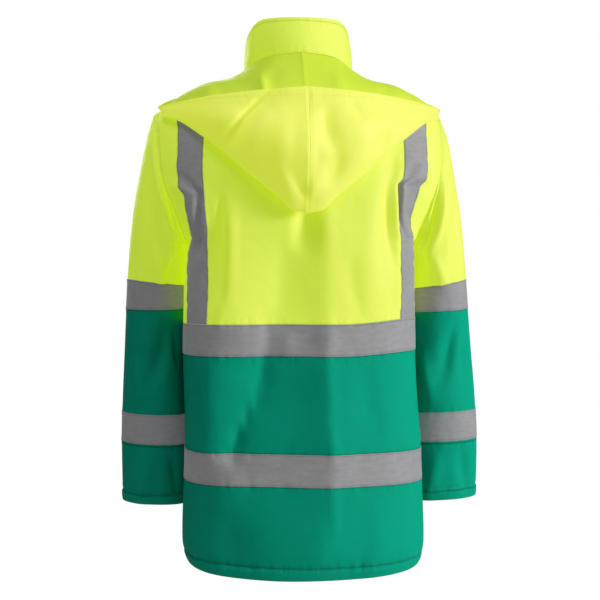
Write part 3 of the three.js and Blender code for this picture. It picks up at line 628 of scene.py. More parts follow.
ARM_ANGLES, ARM_LOOP = arm_loop()
LOOP_KEYS = np.concatenate([ARM_ANGLES[-3:-1] - 2 * np.pi, ARM_ANGLES, ARM_ANGLES[1:3] + 2 * np.pi])
LOOP_POINTS = np.concatenate([ARM_LOOP[-3:-1], ARM_LOOP, ARM_LOOP[1:3]])


def plain_sleeve(angle, along):
    """The left sleeve without folds: from the armhole's edge through its rings to the cuff."""
    start = through(LOOP_KEYS, LOOP_POINTS, angle)
    low = smooth(-np.cos(angle), *UNDER_ARM)
    start[:, 0] += lerp(*SLEEVE_INSIDE, low)
    start[:, 2] -= ARMPIT_DROP * low
    c = squared(np.cos(angle), SLEEVE_SQUARENESS)
    s = squared(np.sin(angle), SLEEVE_SQUARENESS)
    outer = (1 + c[None]) / 2
    ring = SLEEVE[:, :, None]
    x = lerp(ring[:, 3], ring[:, 1], outer)
    y = ring[:, 5] + ring[:, 6] * s[None]
    z = lerp(ring[:, 4], ring[:, 2], outer)
    points = np.concatenate([start[None], np.stack([x, y, z], -1)])
    return through(np.append(0, SLEEVE[:, 0]), points, along)


def sleeve_place(side):
    """A function from angles, distances and lift to points on one sleeve."""

    def plain(angle, along):
        return plain_sleeve(np.mod(angle, 2 * np.pi), along)

    def surface(angle, along):
        angle = np.mod(angle, 2 * np.pi)
        point = plain_sleeve(angle, along)
        normal = slope_normal(plain, angle, along, SLEEVE_STEPS, ROUND_ENDS, SLEEVE_ENDS)
        degrees = np.degrees(angle)
        depth = fold_depth(SLEEVE_FOLDS + SLEEVE_CREASES[side], degrees, along)
        point += normal * -depth[:, None]
        outer = (1 + np.cos(angle)) / 2
        swing = lerp(swayed(BODY_SWAY, point[:, 2]), swayed(SLEEVE_SWAY, point[:, 2]), outer)
        point[:, 0] = side * point[:, 0] + swing * smooth(along, 0, SLEEVE_START)
        if side > 0:
            rise, middle, reach = ELBOW_RISE
            point[:, 2] += rise * (1 - outer) * near(along - middle, reach)
        return point

    def place(angle, along, lift):
        normal = slope_normal(surface, angle, along, SLEEVE_STEPS, ROUND_ENDS, SLEEVE_ENDS)
        height, width = SLEEVE_PUCKER
        around = waves(np.mod(angle, 2 * np.pi) * SLEEVE_RADIUS) * height
        lift = lift + around * sum(near(along - line, width) for line in SLEEVE_LINES)
        height, width = ARMHOLE_PUCKER
        lift += around * near(along, width) * (1 + np.cos(angle)) * height
        lift += turned_edge(CUFF - along, CUFF_TURN, CUFF_GROOVE)
        return surface(angle, along) + normal * (-side * lift)[:, None]

    return place


# Stand collar: rise, half, back, front.
COLLAR_KEYS = [0, 0.35, 0.75, 1]
COLLAR_RINGS = [(87, 76, 89), (88, 78, 88), (86, 77, 86), (83, 75, 84)]
COLLAR_TOP = {"back": 73, "side": 50, "front": 2}
COLLAR_BASE = 0.4
# How soon the top edge reaches its back level, and how it falls to the front.
COLLAR_RISE = 0.75
COLLAR_FALL = 1.5
# Soft unevenness of the padded stand: height, waves in a turn, start, and how they wind with the rise.
COLLAR_WAVES = [(1.1, 3, 0.8, 0), (0.8, 7, 0, 2)]
COLLAR_RADIUS = 90


def neck_point(angle, spread):
    """Points on the neck seam, from the middle of the back round to the front, or this far outside it."""
    back = np.cos(angle)
    depth = np.where(back >= 0, BACK.neck_depth, FRONT.neck_depth) + spread
    level = np.where(back >= 0, BACK.neck_level, FRONT.neck_level)
    z = lerp(NECK_SIDE, level, np.abs(back) ** NECK_CURVE)
    return np.stack([(NECK_HALF + spread) * np.sin(angle), depth * back, z], -1)


def collar_surface(angle, rise):
    """The middle of the collar's wall. rise goes from 0 at the neck seam to 1 at the top edge."""
    back = np.cos(angle)
    base = neck_point(angle, 0)[:, 2] + COLLAR_BASE
    middle = np.where(back >= 0, COLLAR_TOP["back"], COLLAR_TOP["front"])
    # The top edge runs nearly level across the back and drops at its corners.
    rising = np.where(back >= 0, smooth(back, 0, COLLAR_RISE), np.abs(back) ** COLLAR_FALL)
    top = lerp(COLLAR_TOP["side"], middle, rising)
    ring = through(COLLAR_KEYS, np.array(COLLAR_RINGS, float), rise)
    y = np.where(back >= 0, ring[:, 1], ring[:, 2]) * back
    wave = 0
    for height, times, start, wind in COLLAR_WAVES:
        wave = wave + height * np.sin(times * angle + start + wind * rise)
    grow = 1 + wave * np.sin(np.pi * np.clip(rise, 0, 1)) / COLLAR_RADIUS
    return np.stack([ring[:, 0] * np.sin(angle) * grow, y * grow, lerp(base, top, rise)], -1)


def collar_place(angle, rise, lift):
    normal = slope_normal(collar_surface, angle, rise, COLLAR_STEPS, (-np.pi, np.pi), WHOLE)
    return collar_surface(angle, rise) - normal * lift[:, None]


# Hood: at, neck angle, then places down the inner layer, at the bottom fold, up the outer layer, and the rim.
HOOD_STATIONS = [0, 0.22, 0.46, 0.6, 0.68, 0.84, 1]
HOOD_NECK = [0, 34, 72, 90, 100, 124, 148]
HOOD_PATHS = [
    [[0, 131, -52], [0, 164, -240], [0, 198, -150], [0, 176, -49]],
    [[66, 126, -52], [58, 160, -205], [66, 190, -130], [70, 168, -54]],
    [[122, 104, -46], [138, 138, -138], [146, 152, -98], [148, 130, -60]],
    [[146, 62, -38], [192, 96, -94], [200, 96, -84], [202, 82, -66]],
    [[154, 30, -34], [215, 60, -82], [223, 56, -76], [229, 46, -69]],
    [[104, -36, -32], [136, -26, -40], [148, -20, -44], [159, -14, -48]],
    [[54, -86, -64], [58, -91, -69], [60, -94, -73], [62, -97, -77]],
]
HOOD_KEYS = [0, 0.2, 0.5, 0.75, 1]
HOOD_ACROSS = [0, 0.07, 0.15, 0.22, 0.3, 0.38, 0.46, 0.54, 0.6, 0.64, 0.68, 0.76, 0.84, 0.92, 1]
HOOD_DOWN = [0, 0.09, 0.18, 0.27, 0.36, 0.43, 0.47, 0.5, 0.53, 0.57, 0.64, 0.73, 0.82, 0.91, 1]
# The hood starts this far outside and above the neck seam.
HOOD_SPREAD = 6
HOOD_RAISE = 3
# How far the hood lies over the yoke near the neck and over the braces, and from where to where that grows.
HOOD_CLEARANCE = (3.8, 7)
CLEARANCE_PLACES = (105, 150)
# Where the yoke's points are taken for this: the lowest level, rows, columns, and how often it is done.
YOKE_LOW = -300
YOKE_ROWS = 41
YOKE_COLUMNS = 31
YOKE_PASSES = 3
# How many millimetres a hood half is across, and what share of its path a millimetre is.
HOOD_WIDE_MM = 430
HOOD_MM_SHARE = 0.0024


def plain_hood(at, down):
    """The left half of the hood as its stations give it."""
    stations = []
    for neck, path in zip(HOOD_NECK, HOOD_PATHS):
        start = neck_point(np.radians([neck]), HOOD_SPREAD)[0] + [0, 0, HOOD_RAISE]
        stations.append(through(HOOD_KEYS, np.array([start, *path]), down))
    return through(HOOD_STATIONS, np.array(stations), at)


def yoke_points():
    """Points on the left half of the yoke, which the hood lies on, and the way each faces."""
    rows = np.linspace(YOKE_LOW, TOP, YOKE_ROWS)
    levels, shares = np.meshgrid(rows, np.linspace(0, 1, YOKE_COLUMNS), indexing="ij")
    levels, shares = levels.ravel(), shares.ravel()
    ones = np.ones(len(levels))
    points, normals = [], []
    for face in (BACK, FRONT):
        surface = body_place(face, 1)
        points.append(surface(shares, levels, 0 * ones))
        normals.append(surface(shares, levels, ones) - points[-1])
    return np.concatenate(points), np.concatenate(normals)


def lifted_hood():
    """The hood's points on its own rows and columns, lifted clear of the yoke."""
    yoke, facing = yoke_points()
    down, at = np.meshgrid(HOOD_DOWN, HOOD_ACROSS, indexing="ij")
    points = plain_hood(at.ravel(), down.ravel())
    clearance = lerp(*HOOD_CLEARANCE, smooth(points[:, 0], *CLEARANCE_PLACES))
    for _ in range(YOKE_PASSES):
        distance = ((points[:, None] - yoke[None]) ** 2).sum(-1)
        nearest = distance.argmin(1)
        height = ((points - yoke[nearest]) * facing[nearest]).sum(1)
        short = np.where(down.ravel() > 0, np.maximum(clearance - height, 0), 0)
        points += facing[nearest] * short[:, None]
    return points.reshape(len(HOOD_DOWN), len(HOOD_ACROSS), 3)


HOOD_GRID = lifted_hood()

# Creases of the hood's outer layer, seen square on from behind, and of the inner layer.
HOOD_CREASES = [
    (40, -44, 138, -152, 8, 6, 24, -13),
    (60, -84, 104, -160, 4, 16, 24, 8),
    (34, -80, 40, -180, 4, 22, 16, 5),
    (-30, -78, -44, -150, 10, 13, 16, -8),
    (-44, -140, -24, -206, -8, 15, 12, -7),
    (4, -84, 2, -205, 0, 26, 10, 5),
    (-62, -66, -90, -100, 3, 6, 9, -4),
    (-84, -88, -66, -190, -10, 22, 18, 6),
    (24, -188, -12, -232, 3, 8, 8, -5),
    (-28, -180, 4, -228, 3, 8, 8, 4),
    (44, -170, 22, -214, 3, 8, 8, 4),
    (104, -84, 156, -112, 4, 9, 12, 4),
    (-116, -90, -164, -104, 3, 9, 9, -4),
    (-128, -96, -92, -160, -6, 12, 12, -4),
]
INNER_CREASES = [
    (72, -18, 64, -62, 0, 4, 9, 8),
    (40, -10, 52, -55, 4, 10, 12, -3),
    (-50, -16, -66, -58, 4, 12, 9, 3),
]
# The shares down the hood over which each layer's creases grow or die out, and those across it.
OUTER_START = (0.53, 0.66)
INNER_START = (0, 0.08)
INNER_END = (0.2, 0.35)
CREASED_ACROSS = (0.5, 0.62)
# The hood's point hangs round, not sharp: how far it drops, its place and width, and over which levels.
HOOD_POINT = (9, 24, 16)
POINT_LEVELS = (-215, -165)


def hood_surface(side):
    def surface(at, down):
        lines = np.array([through(HOOD_ACROSS, line, np.abs(at)) for line in HOOD_GRID])
        point = through(HOOD_DOWN, lines, down)
        drop, middle, width = HOOD_POINT
        hanging = 1 - smooth(point[:, 2], *POINT_LEVELS)
        point[:, 2] -= drop * near(point[:, 0] - middle, width) * hanging
        point[:, 0] *= side
        inner = smooth(down, *INNER_START) * (1 - smooth(down, *INNER_END))
        push = crease_depth(HOOD_CREASES, point[:, 0], point[:, 2]) * smooth(down, *OUTER_START)
        push += crease_depth(INNER_CREASES, point[:, 0], point[:, 2]) * inner
        point[:, 1] += push * (1 - smooth(np.abs(at), *CREASED_ACROSS))
        return point

    return surface


def hood_place(side):
    surface = hood_surface(side)

    def place(at, down, lift):
        normal = slope_normal(surface, at, down, HOOD_STEPS, WHOLE, WHOLE)
        # Along the centre seam nothing leans sideways, so that the halves meet.
        seam = at < 1e-6
        normal[seam, 0] = 0
        normal[seam] /= np.linalg.norm(normal[seam], axis=1)[:, None]
        return surface(at, down) + normal * (-side * lift)[:, None]

    return place


def spaced(marks, step):
    """Values from the first mark to the last, at most step apart, with every mark."""
    known = sorted(set(marks))
    values = []
    for a, b in zip(known, known[1:]):
        count = max(1, math.ceil((b - a) / step - 1e-6))
        values += list(np.linspace(a, b, count, endpoint=False))
    return np.array(values + [known[-1]])


# The rows of a turned edge, as shares of its length, and how near the edge other rows may come, in radii.
TURN_SHARES = (0.1, 0.25, 0.5, 0.75, 1)
TURN_CLEAR = 1.3


def turned(edge, inward, radius, length, unit, steps=6):
    """Rows that carry a layer round its edge and back on the inside: pairs of place and lift. unit is what a
    millimetre is in rows."""
    pairs = []
    for k in range(steps + 1):
        turn = np.pi * k / steps
        back = inward * unit * radius * (1 - np.sin(turn))
        pairs.append((edge + back, -radius * (1 - np.cos(turn))))
    for share in TURN_SHARES:
        pairs.append((edge + inward * unit * (radius + share * (length - radius)), -2 * radius))
    return pairs


def woven(name, place, columns, rows, lift=0.0, lifts=None, turn=None, ring=False):
    """One layer of cloth on a grid of columns and rows: its object, its points in millimetres, and the column
    and row of each point. turn says how its last edge is turned under, and a ring closes on itself."""
    pairs = [(row, 0.0) for row in rows]
    if turn:
        edge, _, radius, _, unit = turn
        pairs = [pair for pair in pairs if abs(pair[0] - edge) > TURN_CLEAR * radius * unit]
        pairs += turned(*turn)
    levels = np.array([pair[0] for pair in pairs])
    offs = np.array([pair[1] for pair in pairs])
    bm = bmesh.new()
    bmesh.ops.create_grid(bm, x_segments=len(columns) - 1, y_segments=len(levels) - 1, size=0.5)
    co = np.array([v.co for v in bm.verts])
    j = np.rint((co[:, 0] + 0.5) * (len(columns) - 1)).astype(int)
    i = np.rint((co[:, 1] + 0.5) * (len(levels) - 1)).astype(int)
    c, r, o = np.asarray(columns)[j], levels[i], offs[i] + lift
    if lifts:
        o = o + lifts(c, r)
    points = place(c, r, o)
    for vert, point in zip(bm.verts, points):
        vert.co = point * MM
    grid = np.zeros((len(levels), len(columns), 3))
    grid[i, j] = points
    across = np.linalg.norm(np.diff(grid, axis=1), axis=2).mean(0)
    down = np.linalg.norm(np.diff(grid, axis=0), axis=2).mean(1)
    u = np.concatenate([[0], np.cumsum(across)]) * MM
    v = np.concatenate([[0], np.cumsum(down)]) * MM
    uv = bm.loops.layers.uv.new("cloth")
    for face in bm.faces:
        for loop in face.loops:
            k = loop.vert.index
            loop[uv].uv = (u[j[k]], v[i[k]])
    if ring:
        bmesh.ops.remove_doubles(bm, verts=bm.verts, dist=1e-6)
    return made(name, bm), grid, c, r


def made(name, bm):
    """An object at the origin with this shape."""
    mesh = bpy.data.meshes.new(name)
    bm.to_mesh(mesh)
    bm.free()
    obj = bpy.data.objects.new(name, mesh)
    bpy.context.scene.collection.objects.link(obj)
    return obj


def shade_smooth(mesh):
    mesh.polygons.foreach_set("use_smooth", [True] * len(mesh.polygons))


def face_out(obj, away):
    """Turns the faces over if they point inwards. away gives the outward direction at each place."""
    mesh = obj.data
    centres = np.array([p.center for p in mesh.polygons])
    normals = np.array([p.normal for p in mesh.polygons])
    areas = np.array([p.area for p in mesh.polygons])
    if (areas * (normals * away(centres)).sum(1)).sum() < 0:
        mesh.flip_normals()


def face_rows(obj, grid, rows, away):
    """The same for a layer that turns back on itself, judged by some of its rows alone."""
    a = grid[1:, 1:] - grid[:-1, :-1]
    b = grid[1:, :-1] - grid[:-1, 1:]
    normals = np.cross(a, b)
    centres = (grid[1:, 1:] + grid[:-1, :-1]) / 2
    first = obj.data.polygons[0]
    distance = ((centres - np.array(first.center) / MM) ** 2).sum(-1)
    i, j = np.unravel_index(distance.argmin(), distance.shape)
    same = (normals[i, j] * np.array(first.normal)).sum() > 0
    chosen = centres[rows].reshape(-1, 3)
    outward = (normals[rows].reshape(-1, 3) * away(chosen)).sum() > 0
    if same != outward:
        obj.data.flip_normals()


def store(obj, name, values):
    attribute = obj.data.attributes.new(name, "FLOAT", "POINT")
    attribute.data.foreach_set("value", np.asarray(values, np.float32))


class Wire:
    """A node's output. Sums on wires and numbers add Math nodes."""

    def __init__(self, tree, socket):
        self.tree = tree
        self.socket = socket

    def math(self, operation, *values):
        node = self.tree.nodes.new("ShaderNodeMath")
        node.operation = operation
        for socket, value in zip(node.inputs, values):
            if isinstance(value, Wire):
                self.tree.links.new(value.socket, socket)
            else:
                socket.default_value = value
        return Wire(self.tree, node.outputs[0])

    def __add__(self, other):
        return self.math("ADD", self, other)

    def __radd__(self, other):
        return self.math("ADD", other, self)

    def __sub__(self, other):
        return self.math("SUBTRACT", self, other)

    def __rsub__(self, other):
        return self.math("SUBTRACT", other, self)

    def __mul__(self, other):
        return self.math("MULTIPLY", self, other)

    def __rmul__(self, other):
        return self.math("MULTIPLY", other, self)

    def __truediv__(self, other):
        return self.math("DIVIDE", self, other)

    def __rtruediv__(self, other):
        return self.math("DIVIDE", other, self)

    def __pow__(self, other):
        return self.math("POWER", self, other)

    def __rpow__(self, other):
        return self.math("POWER", other, self)

    def __neg__(self):
        return self.math("MULTIPLY", self, -1.0)


class Nodes:
    """A tree of shader nodes, which come from node()."""

    def __init__(self, tree):
        self.tree = tree

    def node(self, kind, settings=None, inputs=None, output=0):
        node = self.tree.nodes.new("ShaderNode" + kind)
        for key, value in (settings or {}).items():
            setattr(node, key, value)
        for key, value in (inputs or {}).items():
            if isinstance(value, Wire):
                self.tree.links.new(value.socket, node.inputs[key])
            else:
                node.inputs[key].default_value = value
        return Wire(self.tree, node.outputs[output])


# The sockets of a Mix node that mixes colours, whose names its other kinds share.
MIX_FIRST = 6
MIX_SECOND = 7
MIX_RESULT = 2


class Finish(Nodes):
    """A material with one Principled shader."""

    def __init__(self, name, constants=None):
        self.material = bpy.data.materials.new(name)
        self.material.use_nodes = True
        super().__init__(self.material.node_tree)
        self.shader = self.tree.nodes["Principled BSDF"]
        for key, value in (constants or {}).items():
            self.shader.inputs[key].default_value = value

    def attribute(self, name):
        return self.node("Attribute", {"attribute_name": name}, output="Fac")

    def uv(self):
        return self.node("UVMap", {"uv_map": "cloth"})

    def place(self):
        return self.node("TexCoord", output="Object")

    def part(self, vector, axis):
        return self.node("SeparateXYZ", {}, {0: vector}, axis)

    def sine(self, wire):
        return self.node("Math", {"operation": "SINE"}, {0: wire})

    def above_zero(self, wire):
        return self.node("Math", {"operation": "MAXIMUM"}, {0: wire, 1: 0.0})

    def scaled(self, vector, x, y, z=1.0):
        return self.node("Mapping", {}, {"Vector": vector, "Scale": (x, y, z)})

    def noise(self, vector, scale, detail=3.0, roughness=0.5):
        values = {"Vector": vector, "Scale": scale, "Detail": detail, "Roughness": roughness}
        return self.node("TexNoise", {}, values)

    def mix(self, factor, a, b):
        values = {"Factor": factor, MIX_FIRST: a, MIX_SECOND: b}
        return self.node("Mix", {"data_type": "RGBA"}, values, MIX_RESULT)

    def near(self, distance, width):
        """1 on a line and 0 away from it."""
        share = distance / width
        return math.e ** -(share * share)

    def feed(self, name, wire):
        self.tree.links.new(wire.socket, self.shader.inputs[name])

    # Painted light: the surface gives off a steady glow of this colour, whatever light falls on it.
    def painted_glow(self, colour):
        self.shader.inputs["Emission Color"].default_value = colour
        self.shader.inputs["Emission Strength"].default_value = 1.0

    def bump(self, height, distance, strength=1.0):
        values = {"Height": height, "Distance": distance, "Strength": strength}
        self.feed("Normal", self.node("Bump", {}, values))


# Threads' spacing in metres, and how many millimetres wide the strip beside a seam that is mottled darker,
# and its groove, are.
WEAVE = 0.0013
INSIDE_WEAVE = 0.0009
SEAM_WIDTH = 9.0
GROOVE_WIDTH = 1.5
# How dark the painted shade in the sewn groove is, beside the cloth's deep tone.
SEWN_SHADE = 0.4
# How strongly each part of the cloth's surface stands up in its bump.
CLOTH_HEIGHTS = {
    "threads": 0.09, "slub": 0.05, "grain": 0.26, "soft": 0.9, "fine": 0.5, "pucker": 2.6, "groove": 0.35,
}


def cloth_finish(name, colour, deep, pale, roughness, sheen, specular, weave=WEAVE, painted_glow=None):
    """Coated woven cloth: threads, soft unevenness, a groove with painted shade and puckers along its
    stitched lines, and a strip beside them mottled darker. Its glow is painted light, standing in for the
    fluorescent dye's brightness: a steady glow that lifts shaded parts as much as lit ones."""
    f = Finish(name, {"Sheen Weight": sheen, "Sheen Roughness": 0.45, "Specular IOR Level": specular})
    uv = f.uv()
    turns = 2 * math.pi / weave
    threads = f.sine(f.part(uv, "X") * turns) * f.sine(f.part(uv, "Y") * turns)
    slub = f.noise(f.scaled(uv, 900, 90), 1.0, 2.0)
    grain = f.noise(f.scaled(uv, 760, 760), 1.0, 3.0, 0.7)
    soft = f.noise(uv, 14.0, 3.0, 0.55)
    fine = f.noise(uv, 55.0, 4.0, 0.6)
    level = f.attribute("level_seam")
    upright = f.attribute("upright_seam")
    near_level = f.near(level, SEAM_WIDTH)
    near_upright = f.near(upright, SEAM_WIDTH)
    level_pucker = (f.noise(f.scaled(uv, 85, 22), 1.0, 2.0) - 0.5) * near_level
    upright_pucker = (f.noise(f.scaled(uv, 22, 85), 1.0, 2.0) - 0.5) * near_upright
    groove = f.near(level, GROOVE_WIDTH) + f.near(upright, GROOVE_WIDTH)
    tone = f.mix(soft * 0.6 + grain * 0.6 - 0.1, deep, colour)
    # Beside the seams the cloth is mottled darker.
    mottled = (near_level + near_upright) * fine * 0.18
    groove_painted_shade = (*(SEWN_SHADE * part for part in deep[:3]), 1)
    cloth = f.mix(mottled, f.mix(slub * 0.25, tone, pale), deep)
    # Painted shade: the cloth is darkened along the groove of each stitched line.
    f.feed("Base Color", f.mix(groove * 0.6, cloth, groove_painted_shade))
    f.feed("Roughness", roughness + (fine - 0.5) * 0.16 + threads * 0.02)
    if painted_glow:
        f.painted_glow(painted_glow)
    h = CLOTH_HEIGHTS
    height = threads * h["threads"] + slub * h["slub"] + grain * h["grain"]
    height = height + (soft - 0.5) * h["soft"] + (fine - 0.5) * h["fine"]
    height = height + (level_pucker + upright_pucker) * h["pucker"] - groove * h["groove"]
    f.bump(height, 0.001)
    return f.material


def tape_finish(name):
    """Retroreflective tape: grey glass beads on cloth, with faint handling marks, a painted glow and painted
    shade along its stitched lines.
    """
    f = Finish(name, {"Sheen Weight": 0.1, "Sheen Roughness": 0.4, "Specular IOR Level": 0.3})
    uv = f.uv()
    beads = f.node("TexVoronoi", {}, {"Vector": uv, "Scale": 1900.0})
    soft = f.noise(uv, 24.0, 4.0, 0.6)
    marks = f.noise(f.scaled(uv, 60, 160), 1.0, 4.0, 0.65)
    edge = f.attribute("tape_edge")
    # Painted light: a steady grey glow stands in for the light that the beads send back to where it comes
    # from, so the tape shades less than cloth does.
    f.painted_glow((0.055, 0.055, 0.057, 1))
    bright = f.mix(soft, (0.17, 0.17, 0.175, 1), (0.265, 0.265, 0.27, 1))
    marked = f.mix(f.above_zero(marks - 0.42) * 1.2, bright, (0.12, 0.12, 0.125, 1))
    # Painted shade: the tape is darkened along its stitched lines near its edges.
    f.feed("Base Color", f.mix(f.near(edge, 0.9) * 0.45, marked, (0.09, 0.09, 0.095, 1)))
    f.feed("Roughness", 0.6 + (soft - 0.5) * 0.3 + marks * 0.1)
    height = beads * 0.05 + (soft - 0.5) * 0.9 + (marks - 0.5) * 0.35 - f.near(edge, 1.4) * 0.3
    f.bump(height, 0.001)
    return f.material


def thread_finish(name, colour, shade):
    f = Finish(name, {"Roughness": 0.6, "Sheen Weight": 0.3})
    twist = f.noise(f.scaled(f.place(), 3000, 3000, 3000), 1.0, 2.0)
    f.feed("Base Color", f.mix(twist, shade, colour))
    f.bump(twist, 0.0002)
    return f.material


def plastic_finish(name, colour, mottled, roughness):
    f = Finish(name)
    grain = f.noise(f.place(), 900.0, 3.0)
    soft = f.noise(f.place(), 60.0, 3.0)
    f.feed("Base Color", f.mix(soft, colour, mottled))
    f.feed("Roughness", roughness + (grain - 0.5) * 0.2)
    f.bump(grain, 0.00015)
    return f.material


def metal_finish(name):
    f = Finish(name, {"Metallic": 0.9})
    brushed = f.noise(f.scaled(f.place(), 3000, 300, 300), 1.0, 3.0)
    soft = f.noise(f.place(), 240.0, 3.0)
    f.feed("Base Color", f.mix(soft, (0.2, 0.2, 0.21, 1), (0.36, 0.36, 0.37, 1)))
    f.feed("Roughness", 0.3 + brushed * 0.2)
    f.bump(brushed, 0.0001)
    return f.material


# The yellows' glow is painted light: it brightens their shaded parts as much as their lit parts.
YELLOW = cloth_finish(
    "hi_vis_yellow", (0.47, 0.39, 0.11, 1), (0.4, 0.37, 0.07, 1), (0.53, 0.43, 0.16, 1),
    roughness=0.5, sheen=0.05, specular=0.35, painted_glow=(0.31, 0.49, 0.0, 1),
)
# The hood's yellow is a lighter copy with more glow: painted light that makes the hood come out brighter.
HOOD_YELLOW_PAINTED_LIGHT = cloth_finish(
    "hi_vis_yellow_hood_painted_light", (0.42, 0.32, 0.13, 1), (0.36, 0.31, 0.08, 1), (0.5, 0.37, 0.18, 1),
    roughness=0.5, sheen=0.05, specular=0.35, painted_glow=(0.43, 0.57, 0.01, 1),
)
GREEN = cloth_finish(
    "work_green", (0.0006, 0.315, 0.195, 1), (0.0004, 0.26, 0.16, 1), (0.004, 0.375, 0.24, 1),
    roughness=0.6, sheen=0.0, specular=0.03,
)
YELLOW_INSIDE = cloth_finish(
    "yellow_coated_inside", (0.42, 0.46, 0.04, 1), (0.34, 0.4, 0.02, 1), (0.5, 0.52, 0.08, 1),
    roughness=0.55, sheen=0.0, specular=0.15, painted_glow=(0.17, 0.29, 0.01, 1),
)
GREEN_INSIDE = cloth_finish(
    "green_coated_inside", (0.02, 0.3, 0.2, 1), (0.015, 0.25, 0.16, 1), (0.06, 0.38, 0.28, 1),
    roughness=0.4, sheen=0.0, specular=0.3, weave=INSIDE_WEAVE,
)
TAPE = tape_finish("reflective_grey")
THREAD_YELLOW = thread_finish("thread_yellow", (0.6, 0.82, 0.05, 1), (0.42, 0.6, 0.02, 1))
THREAD_GREEN = thread_finish("thread_green", (0.004, 0.2, 0.13, 1), (0.002, 0.12, 0.075, 1))
THREAD_GREY = thread_finish("thread_grey", (0.3, 0.3, 0.31, 1), (0.2, 0.2, 0.21, 1))
ZIP_CLOTH = plastic_finish("zip_tape_cloth", (0.015, 0.017, 0.018, 1), (0.03, 0.033, 0.034, 1), 0.7)
ZIP_PLASTIC = plastic_finish("zip_teeth_plastic", (0.02, 0.02, 0.022, 1), (0.035, 0.036, 0.038, 1), 0.35)
ZIP_METAL = metal_finish("zip_metal_finish")


def solid(obj, thickness, inside=None):
    """Gives a layer its thickness, inwards from its outer side."""
    shade_smooth(obj.data)
    modifier = obj.modifiers.new("thickness", "SOLIDIFY")
    modifier.thickness = thickness * MM
    modifier.offset = -1
    if inside:
        obj.data.materials.append(inside)
        modifier.material_offset = 1
        modifier.material_offset_rim = 0


def dress(obj, material, slot, node, thickness, inside=None):
    """Finishes a layer of cloth, and has it replace its solid."""
    obj.data.materials.append(material)
    solid(obj, thickness, inside)
    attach(obj, "jacket")
    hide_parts(node)


def from_axis(centres):
    """Outwards from the body's middle."""
    away = centres.copy()
    away[:, 2] = 0
    return away


def towards(*direction):
    """Outwards for a layer that faces one way."""
    return lambda centres: np.tile(np.array(direction, float), (len(centres), 1))


# How deep and wide seamed edges are drawn in: the body's, a sleeve's at the armhole, the seam under a sleeve
# (whose width is in radians) and the hood's centre seam.
BODY_TUCK = (1.3, 2.6)
SLEEVE_TUCK = (1.5, 2.6)
UNDER_TUCK = (0.7, 0.03)
HOOD_TUCK = (0.8, 3.0)
# The shoulder seam is drawn in from just past the neck.
SHOULDER_TUCK = 0.02


def tuck(distance, size):
    """How far a seamed edge is drawn in."""
    return -size[0] * near(distance, size[1])


def body_seams(obj, across, level):
    """How far each point is from the body's sewn lines, for the material."""
    store(obj, "level_seam", np.min([np.abs(level - line) for line in LEVEL_LINES], axis=0))
    share = np.abs(across)
    below = NO_SEAM * (level < UPPER_BAND[1])
    lines = [np.abs(share - line) * COLUMN_MM + below for line in UPRIGHT_LINES]
    lines.append(np.abs((1 - share) * COLUMN_MM - np.where(level > ARMPIT, ARM_STITCH, 0)))
    store(obj, "upright_seam", np.min(lines, axis=0))


def panel_lift(across, level):
    """Seamed edges are drawn in: the side seam or armhole, and the shoulder seam."""
    share = np.abs(across)
    shoulder = smooth(share, NECK_SHARE, NECK_SHARE + SHOULDER_TUCK)
    return tuck((1 - share) * COLUMN_MM, BODY_TUCK) + tuck(TOP - level, BODY_TUCK) * shoulder


# The grid's step, and the rows and columns close to a seamed edge. All are in millimetres.
GRID = 4.0
EDGE_STEPS = (0, 1.2, 2.6, 4.5)
SIDE_STEPS = (*EDGE_STEPS, 7, 10)
TURN_RADIUS = 1.0

share_step = GRID / COLUMN_MM
edge_shares = [1 - off / COLUMN_MM for off in SIDE_STEPS]
half_columns = spaced([0, NECK_SHARE, BRACE_INNER, BRACE_OUTER, *edge_shares], share_step)
back_columns = np.concatenate([-half_columns[:0:-1], half_columns])
top_rows = [TOP - off for off in EDGE_STEPS]
upper_rows = spaced([PANEL_SEAM, UPPER_BAND[1], ARMPIT, *top_rows], GRID)
lower_rows = spaced([HEM, HEM + HEM_TURN, *LOWER_BAND, UPPER_BAND[0], PANEL_SEAM], GRID)[::-1]
hem_turn = (HEM, 1, TURN_RADIUS, HEM_TURN, 1)

PANELS = [
    ("back", BACK, None, back_columns),
    ("front_left", FRONT, 1, half_columns),
    ("front_right", FRONT, -1, -half_columns[::-1]),
]
places = {name: body_place(face, side) for name, face, side, _ in PANELS}


def flat_of(grid):
    """A piece's longest row and column, and its area, in metres."""
    across = np.linalg.norm(np.diff(grid, axis=1), axis=2).sum(1).max() * MM
    down = np.linalg.norm(np.diff(grid, axis=0), axis=2).sum(0).max() * MM
    a = grid[1:, 1:] - grid[:-1, :-1]
    b = grid[1:, :-1] - grid[:-1, 1:]
    area = np.linalg.norm(np.cross(a, b), axis=2).sum() / 2 * MM * MM
    return across, down, area


def sheet(obj, grid):
    across, down, area = flat_of(grid)


for name, face, side, columns in PANELS:
    for part, rows, turn, finish, inside, slot in (
        ("upper", upper_rows, None, YELLOW, YELLOW_INSIDE, "shell_yellow"),
        ("lower", lower_rows, hem_turn, GREEN, GREEN_INSIDE, "shell_green"),
    ):
        obj, grid, c, r = woven(
            f"{name}_{part}_cloth", places[name], columns, rows, PANEL_OUT, panel_lift, turn
        )
        face_out(obj, from_axis)
        body_seams(obj, c, r)
        dress(obj, finish, slot, f"{name}_{part}", PANEL_THICK, inside)
        sheet(obj, grid)


